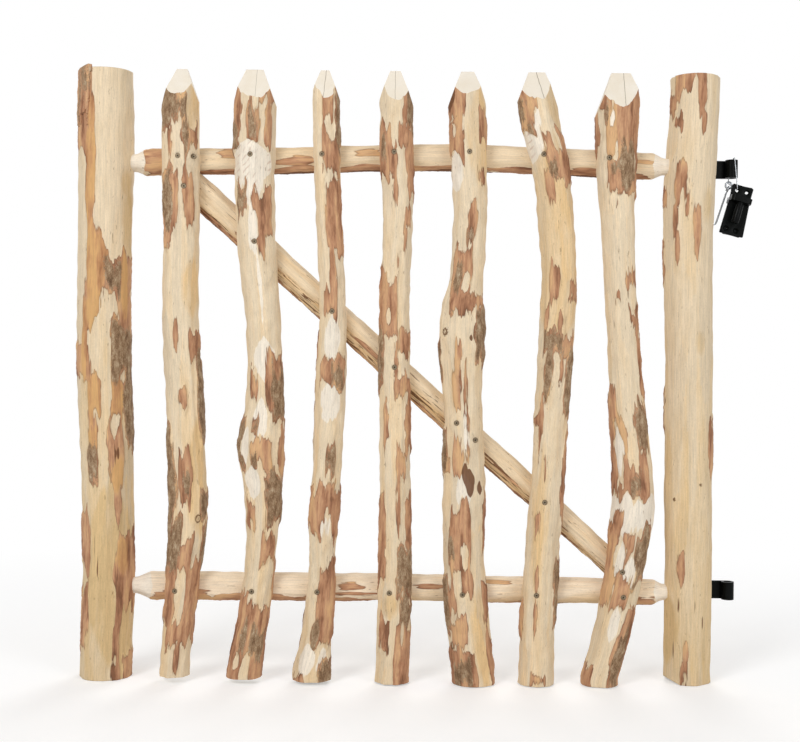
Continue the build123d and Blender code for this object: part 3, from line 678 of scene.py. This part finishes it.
# Hinge post: the same kind of pole, with two flat seats pared into its back for the hinge straps and
# one corner of its foot sawn away at a slant.
HINGE_X = 0.455
STRAP_LEVELS = (0.855, 0.145)
SEAT_HEIGHT = 0.0304
SEAT_DEPTH = FRAME_Y + 0.035
FOOT_CORNER = (Vector((0.432, 0, 0)), Vector((-0.52, -0.12, -0.85)).normalized())
HINGE_KNOTS = [(-23, 303, 4, 0.4, 0.5), (20, 328, 4, 0.3, 0.5)]
HINGE_BARK = [
    ("brown", (-32, 14, 966, 1040)), ("bare", (-3, 6, 950, 1000)),
    ("brown", (7, 20, 925, 1012), (15, 21, 900, 948), (-41, -30, 938, 972), (-25, -17, 902, 940),
     (-31, -27, 910, 932), (-24, -3, 784, 852), (-23, -16, 820, 870)), ("bare", (-14, -6, 735, 806)),
    ("brown", (-24, -17, 730, 802), (-21, -15, 678, 752), (-4, 0, 764, 806), (9, 22, 714, 794),
     (12, 18, 692, 734)), ("tan", (26, 37, 755, 822)),
    ("brown", (-46, -38, 778, 820), (-46, -39, 656, 730)), ("tan", (12, 28, 540, 580)),
    ("brown", (34, 44, 336, 448), (-46, -40, 402, 488), (-17, -4, 164, 216)), ("tan", (-42, -18, 30, 150)),
    ("brown", (-5, 3, 26, 84), (-10, 3, -6, 40)), ("bare", (-5, -1, 0, 30)),
    ("dark", (-24, -21, 40, 74), (-16, -14, 114, 150), (11, 13, 116, 144), (24, 26, 90, 116)),
]
make_pole("hinge_post", Vector((HINGE_X, FRAME_Y, 0)), UP, RIGHT, POST_SPAN, HINGE_BARK,
          post_wood, "post_wood", seed=23, planes=SQUARE_ENDS + [FOOT_CORNER], knots=HINGE_KNOTS,
          heads=[head for head in tenon_heads if head.x > 0],
          seats=[(level, SEAT_HEIGHT, SEAT_DEPTH) for level in STRAP_LEVELS], **POST_STYLE)

# Rails: two thinner poles, shaved flat in front where the pickets lie and turned down at both ends to
# white cones and round tenons, which are driven into the posts.
RAIL_CREAM = shade(234, 213, 181)
RAIL_TAN = shade(216, 183, 136)
TENON_SPARE = 0.008
rail_wood = peeled_skin("rail_wood_peeled", RAIL_CREAM, RAIL_TAN, 0.1)
# A paler copy of the rail wood for the bottom rail: painted light, making up for the weaker light that
# reaches it.
painted_light_rail_wood = peeled_skin("rail_wood_painted_light", shade(244, 225, 198), shade(224, 194, 150), 0.0)
TOP_BARK = [
    ("orange", (-24, 26, -458, -380)), ("brown", (-30, -6, -460, -385), (-14, 22, -462, -402)),
    ("white", (-90, 90, -620, -447)), ("orange", (5, 20, -330, -285)), ("brown", (-30, -15, -390, -250)),
    ("orange", (-6, 6, -238, -160)), ("brown", (-30, -13, -250, -120)), ("orange", (4, 14, -108, -52)),
    ("brown", (-30, -12, -140, 0), (-30, -12, -20, 130), (-30, -14, 110, 240), (-30, -12, 215, 330),
     (-30, -14, 300, 395), (4, 8, 350, 398)),
    ("dark", (-36, -19, -262, -112), (-36, -19, -150, 8), (-36, -18, -14, 136), (-36, -20, 205, 340)),
    ("white", (-90, 90, 388, 560)),
]
BOTTOM_BARK = [
    ("orange", (-30, -10, -445, -330)), ("white", (-90, 90, -610, -428)),
    ("orange", (-30, -12, -350, -200)),
    ("brown", (-30, -17, -250, -60), (-4, 8, -118, -88), (-14, -10, -150, -70), (0, 6, 12, 54),
     (-30, -18, -60, 120)), ("tan", (-30, -6, -60, 130)), ("orange", (8, 14, 112, 165)),
    ("tan", (-30, -8, 110, 250)), ("brown", (-30, -19, 100, 380)), ("tan", (-30, -4, 225, 400)),
    ("brown", (-30, -10, 345, 405)), ("white", (-90, 90, 396, 570)),
]
for node, bark, height, seed, ends, wood in (
    ("top_rail", TOP_BARK, 0.856, 31, (-0.484, 0.430), rail_wood),
    ("bottom_rail", BOTTOM_BARK, 0.149, 37, (-0.476, 0.428), painted_light_rail_wood),
):
    make_pole(node, Vector((0, FRAME_Y, height)), RIGHT, UP, ends, bark, wood, "rail_wood",
              seed=seed, hidden=14, strokes=70, deepest=0.0014, swell=0.0005,
              planes=[(Vector((ends[0] - TENON_SPARE, 0, 0)), -RIGHT),
                      (Vector((ends[1] + TENON_SPARE, 0, 0)), RIGHT)])

# Diagonal brace: a straighter pole that stands on the bottom rail at the hinge side and holds the top
# rail at the latch side. Its upper face is pared smooth and its underside is left splintery.
brace_low, brace_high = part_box("diagonal_brace")
BRACE_TOP = Vector((-0.352, FRAME_Y, 0.796))
BRACE_FOOT = Vector((0.320, FRAME_Y, 0.203))
BRACE_SPAN = (-0.03, 0.93)
SPLINTERS = 70
SPLINTER_EDGE = -3
brace_run = (BRACE_FOOT - BRACE_TOP).normalized()
brace_side = Vector((-brace_run.z, 0, brace_run.x))
BRACE_BARK = [
    ("tan", (-30, -2, -90, 990)), ("brown", (-30, -19, -60, 300)), ("orange", (-30, -18, 240, 620)),
    ("brown", (-30, -19, 560, 960)),
    ("orange", (-12, -7, 60, 190), (-10, -5, 330, 450), (-13, -8, 520, 700)),
]
brace_wood = peeled_skin("brace_wood_peeled", RAIL_CREAM, RAIL_TAN, 0.1, splits=0.92)
splitting = random.Random(5)
brace_splinters = []
for number in range(SPLINTERS):
    across = splitting.uniform(-25, SPLINTER_EDGE) if number % 6 else splitting.uniform(SPLINTER_EDGE, 18)
    begin = splitting.uniform(-40, 880)
    length = splitting.uniform(30, 140) if across < SPLINTER_EDGE else splitting.uniform(12, 40)
    wide, deep = splitting.uniform(1.5, 2.4), splitting.uniform(0.4, 1.5)
    brace_splinters.append((across, begin, begin + length, wide, deep))
make_pole("diagonal_brace", BRACE_TOP, brace_run, brace_side, BRACE_SPAN, BRACE_BARK, brace_wood, "rail_wood",
          seed=41, hidden=12, strokes=60, deepest=0.0016, swell=0.0006, splinters=brace_splinters,
          planes=[(Vector((brace_low.x, 0, 0)), -RIGHT), (Vector((0, 0, brace_high.z)), UP),
                  (Vector((0, 0, brace_low.z)), -UP)])

# Pickets: seven crooked cleft poles, flat behind and round in front, each sawn to a blunt point with a
# long front cut and two side cuts. They are screwed to both rails and to the brace.
picket_wood = peeled_skin("picket_wood_peeled", shade(230, 211, 181), shade(225, 192, 143), 0.25)
PICKET_AXIS_Y = FRAME_Y - 0.036
PICKET_SHOULDER = 0.93
FOOT_SPARE = 0.005
NEAR_PARALLEL = 0.985
MID_HEIGHT = 0.5
END_ZONE = 0.4
TIP_SIDES = [Vector((-0.94, 0, 0.342)), Vector((0.94, 0, 0.342)), Vector((0, -0.86, 0.51)), UP, -UP]
PICKET_BARK = {
    1: [("grey", (-30, -8, 900, 1000), (-12, 8, 912, 952)), ("orange", (-6, 6, 940, 962)),
        ("tan", (8, 34, 880, 985)), ("brown", (9, 27, 862, 912)), ("grey", (3, 12, 862, 916)),
        ("brown", (-22, -15, 858, 904), (-30, -6, 712, 846)), ("grey", (-30, -15, 738, 832)),
        ("brown", (2, 20, 730, 842)), ("tan", (2, 30, 592, 690), (-4, 34, 236, 430)),
        ("brown", (-13, -7, 538, 588), (15, 30, 525, 572)), ("grey", (21, 38, 392, 537)),
        ("brown", (-9, 5, 436, 484)), ("grey", (-38, -21, 236, 420)), ("brown", (-14, 8, 290, 392)),
        ("grey", (-8, 4, 310, 350), (20, 38, 273, 317), (-32, -10, 172, 272), (25, 38, 182, 262)),
        ("brown", (-27, 10, 176, 240), (6, 32, 66, 206), (-36, -9, 92, 228), (-17, 24, 58, 116)),
        ("bare", (-10, 9, 92, 192)), ("brown", (-3, 6, 8, 70))],
    2: [("brown", (8, 36, 938, 992), (-38, -23, 898, 980)), ("grey", (-40, -28, 856, 917)),
        ("brown", (-15, 6, 866, 950)), ("grey", (-11, 2, 876, 942)), ("brown", (15, 27, 873, 952)),
        ("hewn", (-39, 28, 802, 882), (-27, 16, 770, 862)), ("grey", (-28, -16, 762, 803)),
        ("brown", (-6, 26, 730, 810), (2, 13, 680, 748)),
        ("white", (-13, 3, 694, 784), (-4, 2, 598, 716), (-18, 18, 490, 562)), ("brown", (4, 32, 426, 538)),
        ("grey", (13, 32, 430, 514)), ("brown", (-24, -13, 460, 520)), ("white", (-18, 8, 386, 462)),
        ("grey", (-44, -30, 352, 428)), ("white", (-33, -21, 356, 420)), ("orange", (-19, 16, 350, 404)),
        ("grey", (-18, -10, 406, 422), (-17, -9, 355, 372)), ("brown", (28, 44, 328, 432)),
        ("grey", (7, 34, 263, 338)), ("brown", (-26, -12, 246, 306)), ("white", (-28, -2, 298, 356)),
        ("brown", (2, 22, 198, 242), (23, 34, 135, 205), (-32, 32, -20, 142)),
        ("grey", (-16, -6, 40, 104), (2, 22, 38, 92)), ("bare", (-10, 7, -30, 56), (-22, -12, 20, 52))],
    3: [("brown", (-4, 13, 916, 975)), ("grey", (15, 28, 860, 975)),
        ("brown", (-6, 21, 826, 902), (-6, 23, 693, 818), (-3, 8, 592, 714), (-15, -5, 588, 644)),
        ("white", (-15, 13, 523, 598)), ("brown", (-18, 22, 486, 532)), ("grey", (2, 18, 488, 518)),
        ("white", (-17, 6, 438, 490), (-8, 16, 426, 486), (-12, 3, 424, 452)), ("grey", (-2, 12, 340, 394)),
        ("brown", (-24, 14, 242, 328), (13, 28, 234, 322)),
        ("white", (-6, 2, 238, 268), (2, 7, 240, 284), (6, 13, 236, 274)), ("brown", (-6, 26, 58, 197)),
        ("grey", (-9, 2, 60, 108)), ("white", (-26, 2, 10, 68), (4, 20, 14, 62)),
        ("brown", (-30, -8, -24, 14)), ("grey", (10, 30, -16, 34))],
    4: [("brown", (12, 22, 890, 978)), ("grey", (18, 32, 896, 974)), ("brown", (-28, -8, 818, 908)),
        ("grey", (-24, -16, 846, 894)),
        ("brown", (-13, 1, 816, 892), (-6, 0, 776, 832), (6, 20, 873, 910), (16, 30, 788, 906),
         (12, 22, 736, 777), (12, 17, 693, 762), (-28, 3, 560, 674)), ("bare", (-13, -7, 582, 612)),
        ("brown", (2, 6, 658, 706)), ("grey", (-32, -20, 478, 592)),
        ("brown", (1, 6, 476, 562), (11, 26, 526, 582)), ("orange", (2, 26, 464, 507)),
        ("brown", (17, 30, 366, 478), (-18, -11, 366, 472), (3, 9, 246, 397), (8, 18, 328, 382),
         (-32, -15, 192, 318), (17, 32, 213, 314), (-33, -17, 152, 262)),
        ("grey", (6, 31, 136, 226), (12, 30, 94, 147)), ("brown", (2, 30, -30, 107)),
        ("bare", (11, 18, 60, 106)), ("brown", (-24, -8, 56, 114)), ("tan", (-20, 7, 104, 152)),
        ("dark", (-16, -14.8, 92, 122))],
    5: [("dark", (-36, -20, 930, 990)),
        ("brown", (-36, -6, 916, 1000), (-35, -9, 848, 924), (-15, -5, 823, 922)),
        ("bare", (-26, -21, 888, 912)), ("tan", (-4, 32, 808, 975)),
        ("brown", (19, 32, 876, 932), (16, 25, 810, 842)), ("white", (-31, -9, 798, 870)),
        ("brown", (-2, 13, 720, 794)), ("grey", (-2, 4, 720, 744)),
        ("brown", (-22, 9, 608, 717), (-18, 32, 602, 642), (-6, 6, 590, 627)),
        ("grey", (-18, -7, 630, 686)), ("bare", (-5, 6, 634, 670)), ("grey", (24, 44, 523, 620)),
        ("orange", (-12, -2, 478, 572)), ("grey", (-42, -33, 498, 560)), ("orange", (-16, -3, 444, 516)),
        ("brown", (3, 8, 386, 516)), ("white", (1, 8, 358, 460)),
        ("orange", (-18, -1, 330, 406), (-34, -23, 342, 366)), ("grey", (-42, -30, 340, 410)),
        ("white", (-13, 12, 284, 348)), ("bare", (-38, -11, 302, 348)), ("brown", (3, 9, 352, 386)),
        ("dark", (-4, 9, 324, 364), (0, 18, 314, 354), (4, 17, 306, 338), (23, 28, 310, 334),
         (25, 29.5, 314, 327), (14.4, 19.6, 559, 569)), ("brown", (-23, 13, 170, 300), (30, 42, 216, 320)),
        ("bare", (-3, 7, 186, 236)), ("grey", (-24, -14, 202, 238)), ("brown", (-6, 13, 136, 194)),
        ("tan", (4, 34, 0, 160)), ("grey", (-44, -28, 96, 172)), ("brown", (-28, -16, 102, 168)),
        ("orange", (-27, -2, 58, 112)), ("brown", (-40, 5, -40, 68)), ("grey", (-28, -2, 2, 48)),
        ("brown", (29, 42, 108, 172), (28, 44, -24, 90))],
    6: [("tan", (-40, 40, 540, 880)), ("brown", (-33, -10, 943, 992)), ("grey", (-38, -24, 908, 964)),
        ("orange", (-31, -4, 902, 956)), ("grey", (-22, -14, 870, 928)), ("white", (-12, 5, 868, 938)),
        ("hewn", (-40, -7, 848, 902)), ("brown", (-2, 32, 820, 917)), ("grey", (-2, 10, 820, 858)),
        ("brown", (-12, 2, 782, 852)), ("tan", (13, 23, 860, 906), (14, 44, 900, 985)),
        ("brown", (20, 34, 813, 870), (-15, 2, 618, 696), (20, 32, 622, 666), (-22, -13, 558, 622),
         (0, 11, 568, 612)), ("grey", (-19, 11, 538, 582)), ("orange", (-4, 27, 530, 570)),
        ("grey", (-16, -4, 460, 562), (20, 34, 432, 554)),
        ("brown", (9, 15, 468, 542), (-20, -14, 370, 478), (-30, -20, 422, 444), (-18, -4, 318, 384)),
        ("tan", (-20, 2, 150, 384)),
        ("brown", (23, 36, 244, 432), (-16, -9, 238, 300), (-9, -4, 148, 192), (-6, -2, 84, 146),
         (-36, -25, 78, 142)), ("grey", (24, 38, 94, 208)), ("orange", (-8, 14, 6, 22))],
    7: [("brown", (-40, -12, 932, 998), (-40, -28, 858, 952)), ("grey", (-20, -14, 916, 944)),
        ("orange", (-15, 9, 852, 948)), ("white", (-11, -2, 900, 936), (0, 4, 868, 906)),
        ("brown", (3, 38, 846, 996)), ("grey", (10, 29, 810, 886)), ("brown", (-13, 12, 818, 864)),
        ("grey", (-6, 6, 832, 852)),
        ("brown", (-8, 34, 796, 852), (-3, 0, 774, 817), (13, 25, 648, 686), (-7, -1, 628, 644),
         (13, 30, 572, 622), (22, 34, 468, 592), (-35, -20, 416, 490), (-40, -23, 308, 442)),
        ("orange", (-20, -6, 378, 442)), ("white", (-26, -10, 338, 426)), ("grey", (12, 29, 378, 470)),
        ("brown", (-16, 4, 303, 378)), ("grey", (-3, 12, 312, 344)),
        ("brown", (12, 27, 310, 382), (-20, 26, 304, 332)),
        ("white", (-42, -14, 246, 312), (-22, 4, 240, 320), (-4, 20, 248, 309), (12, 44, 242, 316)),
        ("brown", (-40, -17, 212, 278), (-10, 8, 214, 252)), ("grey", (13, 31, 164, 260)),
        ("orange", (-38, -15, 126, 247)), ("brown", (-6, 4, 168, 232)),
        ("white", (-19, -3, 170, 240), (-3, 18, 144, 217)), ("brown", (-12, 12, 120, 180)),
        ("white", (-10, 9, 70, 134)), ("brown", (10, 36, -40, 132)),
        ("dark", (-15, -13, 578, 598), (12, 14, 628, 646)), ("grey", (12, 27, -10, 94)),
        ("brown", (-34, -15, -30, 40))],
}
PICKET_KNOTS = {1: [(17, 267, 4.4, 1.4, 1.2)], 4: [(-8, 129, 14, 1.2, -0.5)],
                5: [(-27, 574, 6, 1.2, 0.8), (-29, 65, 5, 0.8, 1)], 7: [(15, 271, 9, 0.8, -0.5)]}
TIP_CRACKS = {2: ((-0.263, 1.0), (-0.263, 0.97), 2.2), 3: ((-0.150, 1.0), (-0.153, 0.96), 1.2),
              4: ((-0.037, 1.0), (-0.037, 0.96), 1.8), 6: ((0.193, 1.0), (0.204, 0.95), 1.0),
              7: ((0.336, 1.0), (0.335, 0.95), 1.2)}
PICKET_SCREWS = ("top_rail_screws", "bottom_rail_screws", "brace_screws")
picket_heads = [head for node in PICKET_SCREWS for head in screw_heads(node)]


def sawn_planes(node, directions):
    """The flat sawn faces at the ends of a solid that face given ways: a point on each and its normal."""
    planes = []
    faces = [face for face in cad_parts[node].data.polygons
             if abs(face.center.z - MID_HEIGHT) > END_ZONE]
    for direction in directions:
        facing = [face for face in faces if face.normal.dot(direction) > NEAR_PARALLEL]
        largest = max(facing, key=lambda face: face.area)
        planes.append((largest.center.copy(), largest.normal.copy()))
    return planes


for number in range(1, 8):
    node = f"picket_{number}"
    low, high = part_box(node)
    origin = Vector(((low.x + high.x) / 2, PICKET_AXIS_Y, 0))
    span = (low.z + FOOT_SPARE, PICKET_SHOULDER)
    make_pole(node, origin, UP, RIGHT, span, PICKET_BARK[number], picket_wood, "picket_wood",
              seed=50 + number, hidden=10, strokes=80, deepest=0.0024, flat_back=True, hold=high.z,
              planes=sawn_planes(node, TIP_SIDES), knots=PICKET_KNOTS.get(number, ()),
              heads=[head for head in picket_heads if low.x < head.x < high.x], crack=TIP_CRACKS.get(number))

# Wood screws: zinc-plated countersunk screws with a square drive, sunk just under the wood. The drive is
# painted dark as shade in its recess.
DRIVE_REACH = 0.0019


def metal(name, light, deep, gloss, metallic):
    """Dull plated steel with a little tarnish."""
    material, shader, tools = new_finish(name)
    feed, make, sums, scaled, mixed, ramp, noise = tools
    tarnish = ramp(noise(make("TexCoord", {}, 3), (1, 1, 1), 700, 4, 0.65), 0.35, 0.65)
    feed(shader, {"Base Color": mixed(tarnish, light, deep), "Metallic": metallic,
                  "Roughness": ramp(tarnish, 0.0, 1.0, gloss, gloss + 0.22)})
    return material


screw_steel = metal("screw_steel_dull", shade(158, 140, 112), shade(104, 90, 70), 0.35, 0.4)
drive_painted_shade = metal("screw_drive_painted_shade", shade(58, 48, 36), shade(34, 28, 22), 0.6, 0.2)
for node in PICKET_SCREWS + ("tenon_screws",):
    bm = merged(node)
    for head in screw_heads(node):
        # Faces inside the drive get the dark material: painted shade in the recess.
        for face in bm.faces:
            away = face.calc_center_median() - head
            if math.hypot(away.x, away.z) < DRIVE_REACH and abs(away.y) < HEAD_DEPTH:
                face.material_index = 1
    piece = settled(bm, node + "_finish", "leaf", "screw_steel", screw_steel, drive_painted_shade)
    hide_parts(node)

# Hinge straps, pin plates and pins: mild steel with a black powder coat that has a fine orange-peel skin
# and shows a little wear. The straps lie in the seats behind the hinge post.
COAT_EASE = 0.0004
FLAT_LIMIT = 0.01
SHARP_EDGE = 0.6
SMOOTH_LIMIT = 0.45


def powder_coat(name, black, gloss):
    """Black powder coat on steel."""
    material, shader, tools = new_finish(name)
    feed, make, sums, scaled, mixed, ramp, noise = tools
    place = make("TexCoord", {}, 3)
    peel = noise(place, (1, 1, 1), 1400, 2)
    dust = noise(place, (1, 1, 1), 160, 4, 0.7)
    feed(shader, {"Base Color": mixed(ramp(dust, 0.52, 0.85), black, shade(20, 23, 22)),
                  "Roughness": ramp(dust, 0.3, 0.7, gloss, gloss + 0.2), "Specular IOR Level": 0.06,
                  "Normal": make("Bump", {"Height": peel, "Strength": 0.25, "Distance": 0.0002})})
    return material


def finished(node, body, slot, material, ease):
    """A solid of formed steel with its flat faces made whole and each sharp edge rounded a little."""
    bm = merged(node)
    bmesh.ops.dissolve_limit(bm, angle_limit=FLAT_LIMIT, verts=bm.verts, edges=bm.edges)
    sharp = [edge for edge in bm.edges if edge.is_manifold and edge.calc_face_angle() > SHARP_EDGE]
    bmesh.ops.bevel(bm, geom=sharp, offset=ease, affect="EDGES", segments=2, profile=0.5, material=-1,
                    clamp_overlap=True)
    for face in bm.faces:
        face.smooth = True
    piece = settled(bm, node + "_finish", body, slot, material)
    piece.data.set_sharp_from_angle(angle=SMOOTH_LIMIT)
    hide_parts(node)


black_coat = powder_coat("black_powder_coat", shade(11, 13, 12), 0.24)
black_pin = powder_coat("black_pin_coat", shade(8, 9, 9), 0.2)
for node, body, slot, coat in (
    ("upper_hinge_strap", "leaf", "black_coat", black_coat),
    ("lower_hinge_strap", "leaf", "black_coat", black_coat),
    ("front_pin_plate", "front_plate", "black_coat", black_coat),
    ("rear_pin_plate", "rear_plate", "black_coat", black_coat),
    ("front_hinge_pin", "front_plate", "black_pin", black_pin),
    ("rear_hinge_pin", "rear_plate", "black_pin", black_pin),
):
    finished(node, body, slot, coat, COAT_EASE)

# Coach screws, tie wire, screw eye and cabin hook: bright zinc on steel. The coach screws hold the straps
# from behind, and the formed wire hangs in the upper eye and carries the loose pieces.
ZINC_EASE = 0.0002
zinc = metal("bright_zinc", shade(205, 209, 214), shade(112, 117, 124), 0.16, 1.0)
for node, body, slot in (
    ("upper_strap_screws", "leaf", "coach_steel"),
    ("lower_strap_screws", "leaf", "coach_steel"),
    ("tie_wire", "tie_wire", "zinc_wire"),
    ("hook_screw_eye", "tie_wire", "zinc_hook"),
    ("cabin_hook", "cabin_hook", "zinc_hook"),
):
    finished(node, body, slot, zinc, ZINC_EASE)

# Studio: a white floor that keeps the leaf's shadow and fades into the white behind it, an even white
# world, two broad soft lamps in front and one behind.
FLOOR_RADIUS = 9
FLOOR_LEVEL = -0.0004
FLOOR_GLOW = 0.3
FADE_FROM = 0.75
FADE_TO = 1.7
WORLD_LIGHT = 0.45


def seen_directly(make, sums):
    """1 for what the camera sees, also in gloss and through glass, and 0 for light on the object."""
    path = make("LightPath", {}).node.outputs
    mirrored = sums("ADD", path["Is Glossy Ray"], path["Is Transmission Ray"])
    return sums("ADD", path["Is Camera Ray"], mirrored, clamp=True)


floor_white, shader, tools = new_finish("floor_white")
feed, make, sums, scaled, mixed, ramp, noise = tools
feed(shader, {"Base Color": (0.8, 0.8, 0.8, 1), "Roughness": 0.9, "Specular IOR Level": 0.0})
seen = seen_directly(make, sums)
lit = make("AddShader", {0: shader.outputs[0], 1: make("Emission", {"Strength": scaled(seen, FLOOR_GLOW)})})
distance = make("VectorMath", {0: make("TexCoord", {}, 3)}, 1, operation="LENGTH")
faded = sums("MULTIPLY", ramp(distance, FADE_FROM, FADE_TO), seen)
white = make("Emission", {"Strength": 1.0})
feed(floor_white.node_tree.nodes["Material Output"],
     {"Surface": make("MixShader", {0: faded, 1: lit, 2: white})})
bm = bmesh.new()
bmesh.ops.create_circle(bm, cap_ends=True, segments=64, radius=FLOOR_RADIUS)
bmesh.ops.translate(bm, verts=bm.verts, vec=(0, 0, FLOOR_LEVEL))
floor = placed(bm, "floor", floor_white)

world = bpy.data.worlds.new("studio")
bpy.context.scene.world = world
world.use_nodes = True
feed, make, sums, scaled, mixed, ramp, noise = node_maker(world)
feed(world.node_tree.nodes["Background"],
     {"Color": (1, 1, 1, 1), "Strength": ramp(seen_directly(make, sums), 0.0, 1.0, WORLD_LIGHT, 1.0)})

TARGET = Vector((0, 0, 0.5))
for name, place, size, power in (
    ("key", (-1.9, -2.9, 2.5), 1.6, 62),
    ("fill", (2.4, -2.8, 1.3), 1.8, 32),
    ("back", (0.6, 3.0, 2.2), 1.8, 40),
):
    lamp = bpy.data.lights.new(name, "AREA")
    lamp.shape = "DISK"
    lamp.size = size
    lamp.energy = power
    holder = bpy.data.objects.new(name, lamp)
    holder.location = place
    holder.rotation_euler = (TARGET - Vector(place)).to_track_quat("-Z", "Y").to_euler()
    bpy.context.scene.collection.objects.link(holder)

# Camera: two metres in front of the leaf at half its height, held level and rolled by half a degree, with
# its focal length given in pixels of the picture.
PICTURE_WIDTH = 800
FOCAL_PIXELS = 1203
SENSOR_WIDTH = 36
ROLL = math.radians(-0.55)
camera_data = bpy.data.cameras.new("camera")
camera_data.sensor_width = SENSOR_WIDTH
camera_data.lens = SENSOR_WIDTH * FOCAL_PIXELS / PICTURE_WIDTH
camera = bpy.data.objects.new("camera", camera_data)
camera.location = EYE
camera.rotation_euler = (math.pi / 2, ROLL, 0)
bpy.context.scene.collection.objects.link(camera)
bpy.context.scene.camera = camera
bpy.context.scene.view_settings.view_transform = "Standard"
